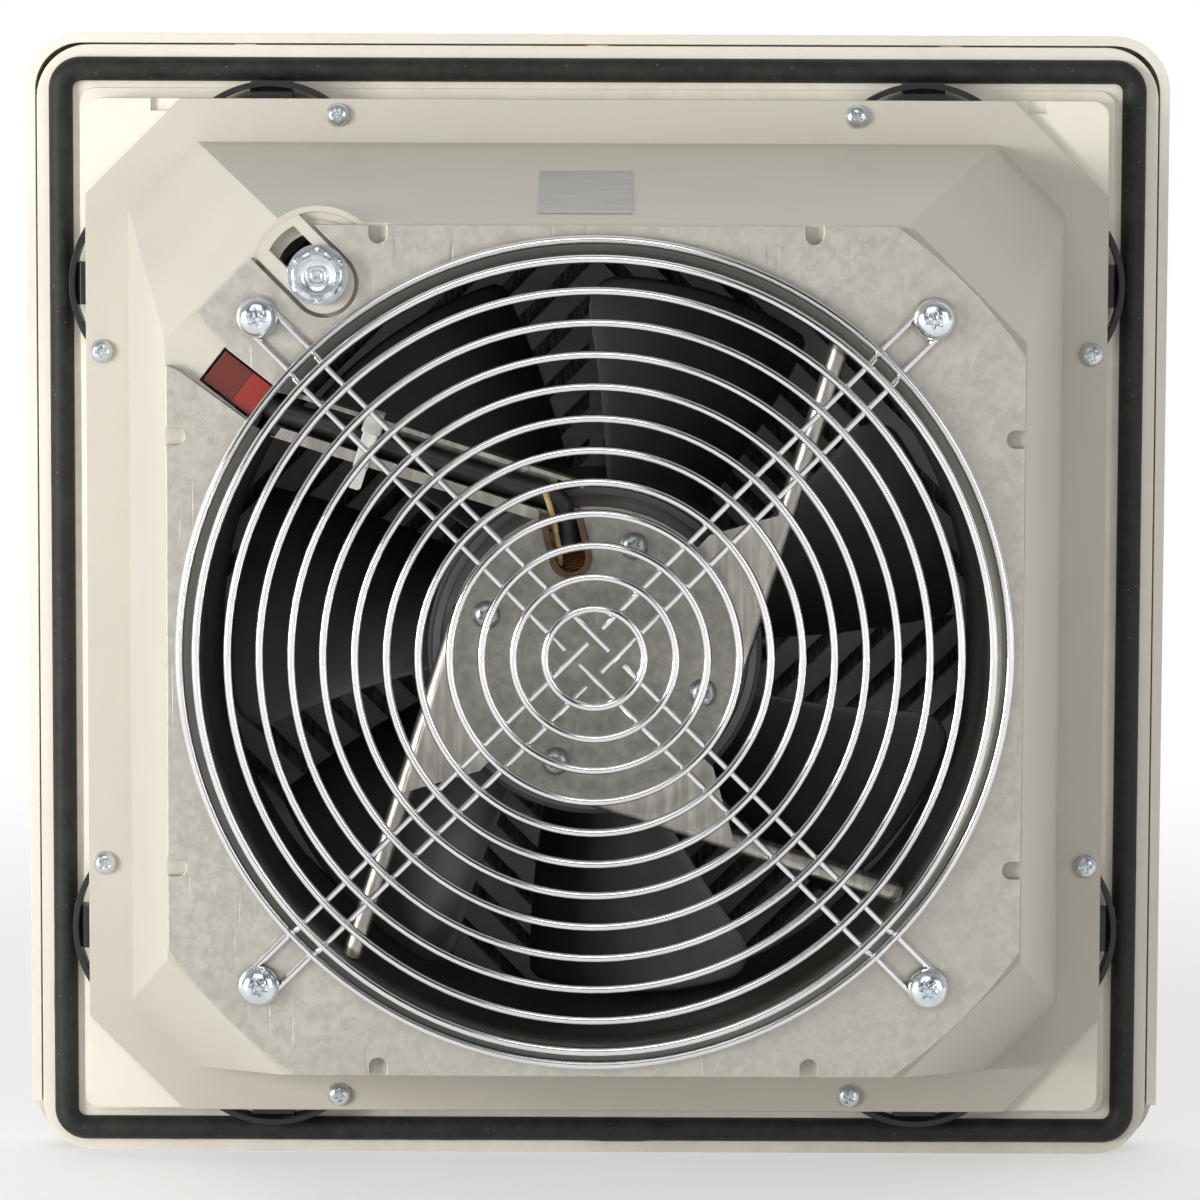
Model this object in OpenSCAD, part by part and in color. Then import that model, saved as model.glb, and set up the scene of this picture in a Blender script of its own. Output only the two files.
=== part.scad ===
// Cabinet filter fan: a louvred cover on a hinge, a snap-in frame with a filter mat,
// a hood, and an axial fan with its motor, cable and wire guard.
// Millimetres. X is right, Y points to the front cover, Z is up.
// The origin is the middle of the face that lies on the cabinet panel.

/* [Panel opening] */
// side of the square hole in the cabinet panel
cutout_w = 291; // [250:1:320]
// play between the box and the hole, each side
cutout_gap = 1.25; // [0.5:0.05:3]
// width of flange that laps the panel outside the box
flange_lap = 15; // [10:0.5:25]
// thickness of the flange
flange_t = 3; // [2:0.5:5]
// thickest part of the sealing bead behind the flange
gasket_t = 4; // [2:0.5:8]

/* [Cover] */
// front face of the cover, measured from the panel
cover_front = 24; // [18:1:40]
// wall of the cover
cover_wall = 2.75; // [2:0.25:4]
// play between cover and flange
cover_gap = 0.5; // [0.3:0.1:2]
// side of the square louvre field
louvre_w = 262; // [200:2:270]
// distance from one slat to the next
louvre_pitch = 14; // [8:1:25]
// height of the hinge axis above the cover's lower edge
hinge_rise = 10.5; // [8:0.5:16]
// distance of each hinge lug from the middle
hinge_x = 100; // [60:5:130]

/* [Filter] */
// side of the filter mat
mat_w = 266; // [200:1:270]
// thickness of the filter mat
mat_t = 16; // [8:1:20]
// distance from one bar of the support grid to the next
grid_pitch = 9.65; // [6:0.05:20]
// width of one bar of the support grid
grid_bar = 5.9; // [2:0.1:9]

/* [Hood] */
// depth from the panel to the back of the fan plate
fan_back = 129; // [100:1:180]
// half side of the hood where it leaves its plate
hood_base = 132; // [120:1:140]
// half side of the hood at the fan end
hood_end = 113; // [110:1:125]
// wall of the hood
hood_wall = 3; // [2:0.5:5]

/* [Fan] */
// side of the square fan plate
fan_plate_w = 225; // [180:1:260]
// circle of the four fan screws
fan_pcd = 250; // [200:1:300]
// radius of the air duct
duct_r = 102.5; // [80:0.5:120]
// radius of the blade tips
tip_r = 98.5; // [70:0.5:118]
// number of blades
blades = 7; // [3:1:11]
// radius of the impeller hub
hub_r = 44.5; // [35:0.5:60]
// radius of the motor disc
disc_r = 38.9; // [30:0.1:50]

/* [Guard] */
// number of raised rings
guard_rings = 12; // [6:1:16]
// radius of the smallest ring
guard_first_r = 13; // [8:0.5:25]
// step from ring to ring
guard_pitch = 8.29; // [5:0.01:15]
// radius of the ring wire
ring_wire_r = 1.1; // [0.6:0.05:2]
// radius of the leg wire
leg_wire_r = 0.8; // [0.5:0.05:1.5]

/* [Motor] */
// bore of the bearings and thickness of the shaft
shaft_d = 8; // [5:1:12]
// outside of the bearings
bearing_d = 22; // [16:1:32]
// width of the bearings
bearing_w = 7; // [4:1:10]
// radius of the stator stack
stator_r = 33; // [25:0.5:36]
// gap between stator and rotor
air_gap = 0.6; // [0.3:0.1:1.5]

/* [Cable] */
// radius of the sleeved motor cable
cable_r = 3.25; // [2:0.05:5]
// radius of the short single lead
lead_r = 0.8; // [0.5:0.05:1.5]

/* [Fits] */
// play on the radius of turning parts
turn_fit = 0.05; // [0.02:0.01:0.1]
// play on the radius of screws in their holes
screw_fit = 0.15; // [0.05:0.05:0.5]

/* [Hidden] */
fine = 96;
round_sides = 48;
small = 32;
eps = 0.05;
slip = 0.2;

box_half = cutout_w / 2 - cutout_gap;
fan_half = fan_plate_w / 2;
box_corner = 4.5;
box_wall = 2.5;
box_depth = 12.2;
flange_half = box_half + flange_lap;
flange_corner = 15;
collar_half = box_half + 2.75;
collar_t = 1;
open_half = 134;
lip_t = 2;
lip_front = 9;
ledge_depth = 8;
ledge_in = 6;
rest_t = 2;
gusset_w = 30;
slot_shares = [-0.853, -0.27, 0.288, 0.86];
slot_w = 5.5;
slot_t = 1.5;

clip_x = 92;
clip_w = 33;
clip_strip = 1.6;
clip_rise = 5;
clip_t = 1.3;
clip_block_w = 12;
window_w = clip_w + 3 * slip;
window_front = 3.6;
clip_back = 11.9;

hood_screw_x = 73;
hood_screw_z = box_half - 4.55;
block_cut = 2;
hood_screw_r = 1.5;

gasket_in = 149;
gasket_out = 155.8;
gasket_foot = 0.6;
gasket_corner = 5.75;

cover_half = flange_half + cover_gap + cover_wall;
cover_corner = 15.9;
cover_low = flange_half;
cover_back = 0.6;
cover_face_t = 3;
cover_chamfer = 3;
hinge_swing = 11;
hinge_y = flange_t + 0.3 + hinge_swing;
hinge_z = hinge_rise - cover_low;
lug_w = 7;
lug_r = 4.6;
lug_play = 1;
trunnion_r = 2.5;
ear_t = 4;
ear_play = 0.5;
low_cut_z = -145;
low_cut_y = 11;
slat_t = 2;
slat_rise = 8;
slat_back = 14.6;
slat_front = 23.2;
rib_t = 2.5;
pip_r = 3;
pip_t = 0.35;

plate_back = box_depth + box_wall;
hood_cut = 27;
hood_base_cut = 19.5;
hood_end_cut = 30.8;
end_back = fan_back - 3;
end_t = 3;
duct_hole_r = 109;
duct_play = 1;

fan_t = 3;
fan_corner_r = 137.4;
notch_x = 57;
notch_r = 2.35;
notch_deep = 4.8;
flare_r = 109.5;
flare_deep = 8;
duct_wall = 2.5;
duct_front = 49;
bell_r = 106;
bell_deep = 7;
fan_screw_r = 2.5;
screw_pos = fan_pcd / 2;

earth_shares = [-0.6453, 0.8836];
earth = fan_half * earth_shares;
boss_r = 18;
boss_in_r = 14.2;
boss_step_r = 16.4;
boss_top = fan_back - 3;
boss_step = 0.6;
boss_foot = 96;
boss_wall = 3;
bay_shares = [-0.6311, 0.864];
bay = fan_half * bay_shares;
bay_r = 9;
bay_reach = 30;
tongue_top = fan_back - 1;
tongue_gap = 1;
pocket_r = 4.5;
pocket_floor = 124.5;
pit_in = 7.5;
pit_out = 11;
earth_r = 4;
earth_af = 13;
earth_head_t = 5.3;
washer_r = 8;
washer_t = 1.6;
earth_nut_t = 6.5;
earth_end = 112;
dish_r = 4.8;
dish_deep = 0.8;

arm_turn = 72.6;
arm_side = 37;
arm_w = 5;
arm_deep = 9;
arm_back = 126;
arm_end = 96.8;
channel_low = 30.4;
channel_high = 41.3;
channel_low_t = 3;
channel_high_t = 1.2;
channel_back = 127;
channel_floor = 115;
channel_floor_t = 2;
channel_start = 14;
channel_end = 77;
channel_low_end = 98.4;
channel_high_end = 95;
passage_end = 104;
channel_high_start = 16;
web_back = 126.5;
web_t = 2.2;
disc_back = 128;
disc_t = 4;
disc_screw_r = 30.3;
disc_screw_turn = 70.3;
mouth_share = 0.676;
mouth_w = 11;
mouth_turn = 104;
gate_shares = [[-0.912, 0.773], [-0.809, 0.658], [-0.773, 0.604], [-0.711, 0.587], [-0.693, 0.48],
               [-0.773, 0.516], [-0.827, 0.557], [-0.971, 0.661], [-0.996, 0.672], [-1.084, 0.676],
               [-1.084, 0.836], [-0.924, 0.791]];
gate_floor = 114;

plug_shares = [-0.8295, 0.626];
plug_mid = fan_half * plug_shares;
plug_turn = -38;
plug_w = 9.6;
plug_l = 16.6;
plug_deep = 9;
plug_back = 126.5;
plug_play = 0.8;
plug_bore_r = 1.6;
plug_bore_l = 9;
plug_bore_x = 2.6;

base_r = 34;
base_back = 124;
base_t = 3.8;
tube_wall = 2;
tube_front = 84;
rear_bearing_back = 121;
front_bearing_front = 85;
stator_back = 112;
stator_front = 88;
winding_in = 16;
winding_out = 30;
winding_t = 5;
spigot_r = 13;
core_in = stator_r + air_gap;
cup_in = 41;
cup_out = 43;
cup_back = 115;
cup_front = 65;
cup_face_t = 2;
cup_boss_r = 9;
cup_boss_back = 79;
shaft_back = 122.8;
shaft_front = 67;
groove_r = 3.5;
groove_y = 122.1;
clip_ring_t = 0.8;
clip_ring_r = 5.6;
hub_back = 114;
hub_front = 60;
hub_face = 63.4;
hub_face_t = 1.5;
rivet_r = 25;
rivet_n = 4;
rivet_d = 4;
rivet_head_r = 3.4;
rivet_head_t = 1;

blade_t = 2.8;
blade_le_y = 61;
blade_te_y = 104;
blade_le_turn = 2.4;
blade_span = 38.5;
blade_root_lag = 6;
blade_bulge = 3;
te_corner = 11;
blade_rows = 9;
blade_cols = 9;

leg_gap = 4;
leg_up = 136.4;
leg_low = fan_back + leg_wire_r + eps;
weld = 0.2;
outer_ring_r = 109;
kink_r = 104.9;
bend_r = 1.6;
bend_turn = 75;
bend_step = 25;
loop_step = 18;
wire_sides = 10;
foot_r = kink_r + 2 * bend_r * sin(bend_turn)
         + (leg_up - leg_low - 2 * bend_r * (1 - cos(bend_turn))) / tan(bend_turn);
long_end = -1.5;
short_end = 6.8;

pan_r = 5.4;
pan_t = 3.4;
small_pan_r = 3.4;
small_pan_t = 2.4;
disc_pan_r = 3.75;
disc_pan_t = 2.6;
recess_w = 1.1;
recess_deep_share = 0.55;
recess_reach_share = 0.52;
nut_af = 8;
nut_t = 4;

label_x = -3;
label_w = 25.2;
label_l = 59;
label_t = 0.2;
label_near = 114;
hood_slope = atan((hood_base - hood_end) / (end_back - plate_back));

// cable route: X, Y, Z of points along its middle
cable_path = [[-88.31, -121, 66.65], [-84.3, -121, 63.72], [-80.05, -121, 62.23], [-74.33, -121, 60.44],
  [-67.65, -121, 58.35], [-60.97, -121, 56.25], [-54.3, -121, 54.2], [-41.9, -121, 50.3], [-29.5, -121, 46.4],
  [-18, -121, 43], [-12.8, -120.9, 41.4], [-9.1, -120.7, 38.8], [-7.5, -120.7, 35],
  [-7, -120.7, 31.3], [-7.1, -120.7, 27.8]];
// thin lead beside the cable, from the sleeve's end into the motor
lead_path = [[-13.4, -125.6, 43.2], [-12.2, -125.8, 39.6], [-10.9, -125.6, 35.2], [-10.2, -125.2, 31],
  [-9.4, -124.4, 26.8], [-9.2, -123, 23.2]];
ledge_w = 6;
block_in = 4;
grid_t = 4;
grid_play = 0.3;
grid_rim = 5;
grid_rib = 4;
clip_front = 4;
clip_lap_end = 0.6;
clip_low = 1.75;
clip_peak = 4.95;
clip_peak_back = 7;
clip_peak_front = 5;
clip_hold = 3.25;
screw_xy = screw_pos / sqrt(2);
channel_foot = 23;
mouth_mid = disc_r * mouth_share;
disc_bolt_r = 1.9;
shield_deep = 0.6;
race_share = 0.3;
slots = 12;
slot_mid = 25;
stator_slot_r = 3;
slot_mouth = 1.6;
blade_embed = 0.8;
le_corner = 3;
plug_grip = 3;
cable_drop = 5.5;
tie_head = 3;
grommet_lip = 0.8;
tie_at = 71.5;
tie_w = 4;
tie_t = 1.2;
grommet_t = 1.6;

// which sub-part to draw

// an outline in X and Z made solid from y0 to y1
module slab(y0, y1) {
  translate([0, y1, 0]) rotate([90, 0, 0]) linear_extrude(y1 - y0) children();
}

// an outline in Y and Z made solid from x0 to x1
module bar_x(x0, x1) {
  translate([x0, 0, 0]) rotate([90, 0, 90]) linear_extrude(x1 - x0) children();
}

// an outline in radius and Y turned round the fan axis
module turned() {
  rotate([-90, 0, 0]) rotate_extrude($fn = fine) children();
}

module rod(r, y0, y1, sides = round_sides) {
  translate([0, y0, 0]) rotate([-90, 0, 0]) cylinder(h = y1 - y0, r = r, $fn = sides);
}

module tube(r_out, r_in, y0, y1) {
  difference() {
    rod(r_out, y0, y1, fine);
    rod(r_in, y0 - 1, y1 + 1, fine);
  }
}

// children moved to a point in X and Z
module at(p) {
  translate([p[0], 0, p[1]]) children();
}

// children turned about the fan axis, anticlockwise from behind
module turn(a) {
  rotate([0, -a, 0]) children();
}

// upright rectangle with round corners
module round_rect(half, low, high, r) {
  translate([-half, low + r]) square([2 * half, high - low - 2 * r]);
  translate([r - half, low]) square([2 * (half - r), high - low]);
  for (sx = [-1, 1], z = [low + r, high - r])
    translate([sx * (half - r), z]) circle(r, $fn = round_sides);
}

module round_square(half, r) {
  round_rect(half, -half, half, r);
}

module square_ring(outer, inner) {
  difference() {
    square(2 * outer, center = true);
    square(2 * inner, center = true);
  }
}

// square with its corners cut off straight
module cut_square(half, cut) {
  polygon([[half, cut - half], [half, half - cut], [half - cut, half], [cut - half, half],
           [-half, half - cut], [-half, cut - half], [cut - half, -half], [half - cut, -half]]);
}

// the eight places of one kind along the four sides
module eight(x, z) {
  for (side = [0 : 3], sx = [-1, 1]) turn(90 * side) at([sx * x, z]) children();
}

// front cover
module slat(z) {
  bar_x(-louvre_w / 2 - rib_t, louvre_w / 2 + rib_t)
    polygon([[slat_back, z + slat_rise / 2], [slat_back, z + slat_rise / 2 + slat_t],
             [slat_front, z - slat_rise / 2 + slat_t], [slat_front, z - slat_rise / 2]]);
}

module hinge_ear(sx) {
  near = hinge_x + lug_w / 2 + ear_play;
  mirror([sx < 0 ? 1 : 0, 0, 0]) {
    bar_x(near, near + ear_t) {
      translate([hinge_y, hinge_z]) circle(lug_r, $fn = round_sides);
      translate([hinge_y - lug_r, -cover_low + cover_wall - 1])
        square([cover_front - cover_face_t - hinge_y + lug_r + 1, hinge_rise - cover_wall + 1]);
    }
    translate([near - lug_w, hinge_y, hinge_z]) rotate([0, 90, 0])
      cylinder(h = lug_w + 1, r = trunnion_r, $fn = round_sides);
  }
}

module lug_notch(sx) {
  translate([sx * hinge_x - lug_w / 2 - lug_play, low_cut_y - 1, -cover_low - 1])
    cube([lug_w + 2 * lug_play - (lug_play - ear_play), hinge_y - low_cut_y + lug_r + 2, cover_wall + 2]);
}

module cover_shell() {
  inner = cover_half - cover_wall;
  difference() {
    union() {
      slab(cover_back, cover_front - cover_chamfer)
        round_rect(cover_half, -cover_low, cover_half, cover_corner);
      hull() {
        slab(cover_front - cover_chamfer - 1, cover_front - cover_chamfer)
          round_rect(cover_half, -cover_low, cover_half, cover_corner);
        slab(cover_front - 1, cover_front)
          round_rect(cover_half - cover_chamfer, cover_chamfer - cover_low, cover_half - cover_chamfer,
                     cover_corner - cover_chamfer);
      }
    }
    slab(0, cover_front - cover_face_t)
      round_rect(inner, cover_wall - cover_low, inner, cover_corner - cover_wall);
    translate([0, cover_front, 0]) cube([louvre_w, 2 * slat_front, louvre_w], center = true);
    translate([-cover_half - 1, -1, -cover_low - 1])
      cube([2 * cover_half + 2, low_cut_y + 1, low_cut_z + cover_low + 1]);
  }
}

module front_cover() {
  count = floor((louvre_w / 2 - slat_rise / 2 - 1) / louvre_pitch);
  color([0.85, 0.84, 0.8]) difference() {
    union() {
      cover_shell();
      for (i = [-count : count]) slat(i * louvre_pitch);
      for (i = [-1 : 1]) translate([i * louvre_w / 4 - rib_t / 2, slat_back, -louvre_w / 2 - 1])
        cube([rib_t, cover_front - cover_face_t - slat_back, louvre_w + 2]);
      for (sx = [-1, 1]) hinge_ear(sx);
    }
    lug_notch(1);
    mirror([1, 0, 0]) lug_notch(1);
  }
}

// snap-in frame
module frame_lug(sx) {
  translate([sx * hinge_x - lug_w / 2, 0, 0]) bar_x(0, lug_w) difference() {
    union() {
      translate([hinge_y, hinge_z]) circle(lug_r, $fn = round_sides);
      translate([flange_t - 1, hinge_z - lug_r]) square([hinge_y - flange_t + 1, 2 * lug_r]);
    }
    translate([hinge_y, hinge_z]) circle(trunnion_r + turn_fit, $fn = round_sides);
  }
}

module screw_block() {
  translate([-block_in, -box_depth, open_half + lip_t - hood_screw_z - slip])
    cube([block_in + block_cut, box_depth + eps, box_half - box_wall - open_half - lip_t + 2 * slip]);
}

// low bump on the flange edge that steadies the closed cover
module pip(x) {
  intersection() {
    translate([x, flange_t / 2, flange_half - pip_r + pip_t]) rotate([0, 90, 0])
      cylinder(h = 2 * pip_r, r = pip_r, center = true, $fn = round_sides);
    slab(0, flange_t) square(3 * flange_half, center = true);
  }
}

module base_frame() {
  inner = box_half - box_wall;
  color([0.83, 0.82, 0.78]) difference() {
    union() {
      slab(0, flange_t) difference() {
        round_square(flange_half, flange_corner);
        square(2 * open_half, center = true);
      }
      slab(-collar_t, eps) difference() {
        round_square(collar_half, box_corner);
        square(2 * inner, center = true);
      }
      slab(-box_depth, eps) difference() {
        round_square(box_half, box_corner);
        round_square(inner, box_corner - box_wall);
      }
      slab(-ledge_depth, lip_front) square_ring(open_half + lip_t, open_half);
      slab(-ledge_depth, -ledge_in) square_ring(open_half + lip_t, open_half - ledge_w);
      for (sx = [-1, 1], sz = [-1, 1]) slab(-box_depth, -box_depth + rest_t)
        polygon([[sx * inner, sz * (inner - gusset_w)], [sx * (inner - gusset_w), sz * inner],
                 [sx * (inner + 1), sz * (inner + 1)]]);
      for (side = [0 : 3], flip = [0, 1]) turn(90 * side) mirror([flip, 0, 0])
        at([hood_screw_x, hood_screw_z]) screw_block();
      for (sx = [-1, 1]) frame_lug(sx);
      for (x = [-hinge_x, 0, hinge_x]) pip(x);
    }
    eight(clip_x, box_half) translate([-window_w / 2, -box_depth - 1, -box_wall - 1])
      cube([window_w, box_depth - window_front + 1, box_wall + 2]);
    eight(hood_screw_x, hood_screw_z) rod(hood_screw_r + screw_fit, -box_depth - 1, -2, small);
    for (x = box_half * slot_shares) translate([x - slot_w / 2, -box_depth - 1, box_half - box_wall - 1])
      cube([slot_w, slot_t + 1, box_wall + 2]);
  }
}

// half-round section of the bead: across, then away from the flange
module bead() {
  half = (gasket_out - gasket_in) / 2;
  translate([-half, -gasket_foot]) square([2 * half, gasket_foot]);
  intersection() {
    translate([0, -gasket_foot]) circle(half, $fn = round_sides);
    translate([-half, -gasket_foot - half]) square([2 * half, half + eps]);
  }
}

module flange_gasket() {
  mid = (gasket_out + gasket_in) / 2;
  run = mid - gasket_corner;
  color([0.16, 0.18, 0.16]) for (side = [0 : 3]) turn(90 * side) {
    translate([0, 0, mid]) bar_x(-run, run) mirror([1, -1]) bead();
    at([run, run]) rotate([-90, 0, 0]) rotate([0, 0, -90]) rotate_extrude(angle = 90, $fn = fine)
      translate([gasket_corner, 0]) bead();
  }
}

// filter mat and its grid
module filter_mat() {
  color([0.9, 0.9, 0.88]) slab(grid_t - ledge_in, grid_t - ledge_in + mat_t)
    square(mat_w, center = true);
}

module support_grid() {
  half = open_half - grid_play;
  last = ceil(half * sqrt(2) / grid_pitch);
  color([0.55, 0.54, 0.52]) slab(-ledge_in, grid_t - ledge_in) {
    square_ring(half, half - grid_rim);
    intersection() {
      square(2 * half, center = true);
      union() {
        rotate(45) square(grid_bar, center = true);
        for (i = [1 : last]) rotate(45)
          square_ring(i * grid_pitch + grid_bar / 2, i * grid_pitch - grid_bar / 2);
        square([grid_rib, 2 * half], center = true);
        square([2 * half, grid_rib], center = true);
      }
    }
  }
}

// snap clip: a bow that bends in, with a ramp in its middle, on a plate behind the wall
module clip() {
  bow_r = (pow(clip_w / 2, 2) + pow(clip_rise, 2)) / (2 * clip_rise);
  foot = -box_wall - eps;
  slab(-clip_back, -clip_front) {
    intersection() {
      difference() {
        translate([0, clip_rise - bow_r]) circle(bow_r, $fn = fine);
        translate([0, clip_rise - bow_r]) circle(bow_r - clip_strip, $fn = fine);
      }
      translate([-clip_w / 2, -box_wall]) square([clip_w, clip_rise + 2 * box_wall]);
    }
    for (x = [-clip_w / 2, clip_w / 2 - clip_strip])
      translate([x, foot - clip_t]) square([clip_strip, clip_t - foot]);
  }
  translate([-clip_w / 2, -clip_back, foot - clip_t]) cube([clip_w, clip_back - clip_lap_end, clip_t]);
  bar_x(-clip_block_w / 2, clip_block_w / 2)
    polygon([[-clip_back, foot - eps], [-clip_back, clip_low], [-clip_peak_back, clip_peak],
             [-clip_peak_front, clip_peak], [-clip_front, clip_hold], [-clip_front, foot - eps]]);
}

module place_clip(side, sx) {
  color([0.1, 0.1, 0.11]) turn(90 * side) at([sx * clip_x, box_half]) clip();
}

module clip_top_left() place_clip(0, -1);
module clip_top_right() place_clip(0, 1);
module clip_left_upper() place_clip(1, 1);
module clip_left_lower() place_clip(1, -1);
module clip_bottom_left() place_clip(2, 1);
module clip_bottom_right() place_clip(2, -1);
module clip_right_upper() place_clip(3, -1);
module clip_right_lower() place_clip(3, 1);

// hood
module bay_shape(r) {
  translate(bay) {
    circle(r, $fn = round_sides);
    rotate(135) translate([0, eps - r]) square([bay_reach, 2 * (r - eps)]);
  }
}

// slot beside the earth bolt, open from one radius to another
module pocket_shape(r_in, r_out) {
  translate(earth) intersection() {
    difference() {
      circle(r_out, $fn = fine);
      circle(r_in, $fn = fine);
    }
    rotate(135) translate([0, -pocket_r]) square([bay_reach, 2 * pocket_r]);
  }
}

module plug_shape(play) {
  translate(plug_mid) rotate(plug_turn)
    square([plug_l + 2 * play, plug_w + 2 * play], center = true);
}

module hood_form(inset, y0, y1, skin) {
  trim = inset * (2 - sqrt(2));
  hull() {
    slab(y1 - skin, y1) cut_square(hood_base - inset, hood_base_cut - trim);
    slab(y0, y0 + 1) cut_square(hood_end - inset, hood_end_cut - trim);
  }
}

module fan_shroud() {
  color([0.86, 0.85, 0.8]) difference() {
    union() {
      slab(-plate_back, -box_depth) cut_square(box_half, hood_cut);
      hood_form(0, -end_back, -plate_back + 1, 1);
      at(earth) rod(boss_r, -boss_top, -boss_foot, fine);
      slab(-tongue_top, eps - boss_top) intersection() {
        bay_shape(bay_r - tongue_gap);
        translate(earth) circle(boss_step_r, $fn = fine);
      }
    }
    hood_form(hood_wall, end_t - end_back, 1 - box_depth, plate_back - box_depth + 1);
    rod(duct_hole_r, -end_back - 1, 1 + end_t - end_back, fine);
    rod(duct_r + duct_wall + 1, -boss_top - 1, 1 - boss_foot, fine);
    at(earth) {
      rod(boss_r - boss_wall, end_t - end_back + slip, 1 - boss_foot, fine);
      rod(earth_r + screw_fit, -fan_back, -boss_foot, small);
      tube_cut(boss_step_r, boss_in_r, -boss_top - eps, boss_step - boss_top);
    }
    slab(-fan_back, -boss_foot) pocket_shape(pit_in, pit_out);
    slab(-fan_back, -pocket_floor) pocket_shape(pit_in, boss_in_r);
    slab(-fan_back, -plate_back - hood_wall) plug_shape(plug_play);
    eight(hood_screw_x, hood_screw_z) rod(hood_screw_r + screw_fit, -plate_back - 1, 1 - box_depth, small);
    for (sx = [-1, 1], sz = [-1, 1]) at([sx * screw_xy, sz * screw_xy])
      rod(fan_screw_r + screw_fit, -fan_back, -plate_back, small);
  }
}

// ring-shaped cut that leaves the bay and its tongue alone
module tube_cut(r_out, r_in, y0, y1) {
  difference() {
    slab(y0, y1) difference() {
      circle(r_out, $fn = fine);
      circle(r_in, $fn = fine);
    }
    slab(y0 - 1, y1 + 1) translate(-earth) bay_shape(bay_r - tongue_gap);
  }
}

// domed screw head whose seat is at y, with a cross recess; the dome points to -Y
module pan_head(r, t, y) {
  dome = t * 0.5;
  difference() {
    translate([0, y, 0]) turned() {
      translate([0, dome - t]) square([r, t - dome]);
      polygon(concat([[0, dome - t]], [for (a = [0 : 15 : 90]) [r * cos(a), dome - t - dome * sin(a)]]));
    }
    for (a = [0, 90]) rotate([0, a, 0]) translate([0, y - t, 0])
      cube([2 * r * recess_reach_share, 2 * t * recess_deep_share, recess_w], center = true);
  }
}

module shroud_screws() {
  color([0.75, 0.77, 0.8]) eight(hood_screw_x, hood_screw_z) {
    pan_head(small_pan_r, small_pan_t, -plate_back);
    rod(hood_screw_r, -plate_back - eps, -3, small);
  }
}

module rating_label() {
  rise = (end_back - label_near) * tan(hood_slope);
  color([0.7, 0.7, 0.7]) translate([label_x - label_w / 2, -label_near, hood_end + rise + eps])
    rotate([hood_slope, 0, 0]) cube([label_w, label_l, label_t]);
}

module earth_bolt() {
  seat = tongue_top + washer_t;
  color([0.75, 0.77, 0.8]) at(earth) difference() {
    union() {
      intersection() {
        rod(earth_af / sqrt(3), -seat - earth_head_t, -seat, 6);
        rod_cone(earth_af / sqrt(3) - 1, earth_af / sqrt(3) + earth_head_t, -seat - earth_head_t, -seat + 1);
      }
      rod(earth_r, -seat - eps, -earth_end, round_sides);
    }
    rod(dish_r, -seat - earth_head_t - 1, dish_deep - seat - earth_head_t, round_sides);
  }
}

module rod_cone(r0, r1, y0, y1) {
  translate([0, y0, 0]) rotate([-90, 0, 0]) cylinder(h = y1 - y0, r1 = r0, r2 = r1, $fn = round_sides);
}

module earth_washer() {
  color([0.72, 0.74, 0.77]) at(earth)
    tube(washer_r, earth_r + screw_fit, -tongue_top - washer_t, -tongue_top);
}

module hex_nut(af, bore, y0, y1) {
  difference() {
    rod(af / sqrt(3), y0, y1, 6);
    rod(bore, y0 - 1, y1 + 1);
  }
}

module earth_nut() {
  color([0.75, 0.77, 0.8]) at(earth)
    hex_nut(earth_af, earth_r + eps, end_t - end_back + slip, end_t - end_back + slip + earth_nut_t);
}

// fan casting
module plate_outline() {
  difference() {
    intersection() {
      square(fan_plate_w, center = true);
      circle(fan_corner_r, $fn = fine);
    }
    for (side = [0 : 3], sx = [-1, 1]) rotate(90 * side)
      translate([sx * notch_x, fan_half - notch_deep + notch_r]) {
        circle(notch_r, $fn = small);
        translate([-notch_r, 0]) square([2 * notch_r, notch_deep]);
      }
    bay_shape(bay_r);
    polygon(fan_half * gate_shares);
  }
}

// duct wall in radius and Y, with a bell at each end
module duct_profile() {
  polygon(concat(
    [[duct_hole_r - duct_play, fan_t - fan_back], [duct_r + duct_wall, flare_deep + fan_t - fan_back],
     [duct_r + duct_wall, -duct_front - bell_deep], [bell_r + duct_wall, -duct_front],
     [bell_r, -duct_front], [duct_r, -duct_front - bell_deep]],
    [for (a = [0 : 10 : 90]) [flare_r - (flare_r - duct_r) * cos(a), flare_deep - fan_back - flare_deep * sin(a)]],
    [[flare_r + duct_wall / 2, -fan_back], [flare_r + duct_wall / 2, fan_t - fan_back]]));
}

module plain_arm() {
  turn(arm_turn) {
    bar_x(0, arm_end) translate([arm_deep / 2 - arm_back, -arm_side]) {
      square([arm_deep - arm_w, arm_w], center = true);
      for (s = [-1, 1]) translate([s * (arm_deep - arm_w) / 2, 0]) circle(arm_w / 2, $fn = small);
    }
    slab(-web_back, web_t - web_back) polygon([[0, 0], [disc_r, -disc_r / 2], [1.3 * disc_r, -arm_side], [0, -arm_side]]);
  }
}

module cable_arm() {
  turn(arm_turn + 90) {
    bar_x(channel_foot, channel_low_end) translate([-channel_back, -channel_low - channel_low_t / 2])
      square([channel_back - channel_floor, channel_low_t]);
    bar_x(channel_foot, channel_end) translate([-channel_floor - channel_floor_t, -channel_high])
      square([channel_floor_t, channel_high - channel_low]);
    bar_x(channel_high_start, channel_high_end)
      translate([-channel_back, -channel_high - channel_high_t / 2])
        square([channel_back - channel_floor, channel_high_t]);
    bar_x(channel_end, arm_end)
      translate([-gate_floor - 1.5, -channel_low - channel_low_t / 2]) square([arm_w, channel_low_t]);
  }
}

// open-ended mouth in the disc for the cable
module mouth_shape(half) {
  rotate(mouth_turn) translate([mouth_mid, 0]) {
    circle(half, $fn = small);
    translate([0, -half]) square([disc_r, 2 * half]);
  }
}

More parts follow.
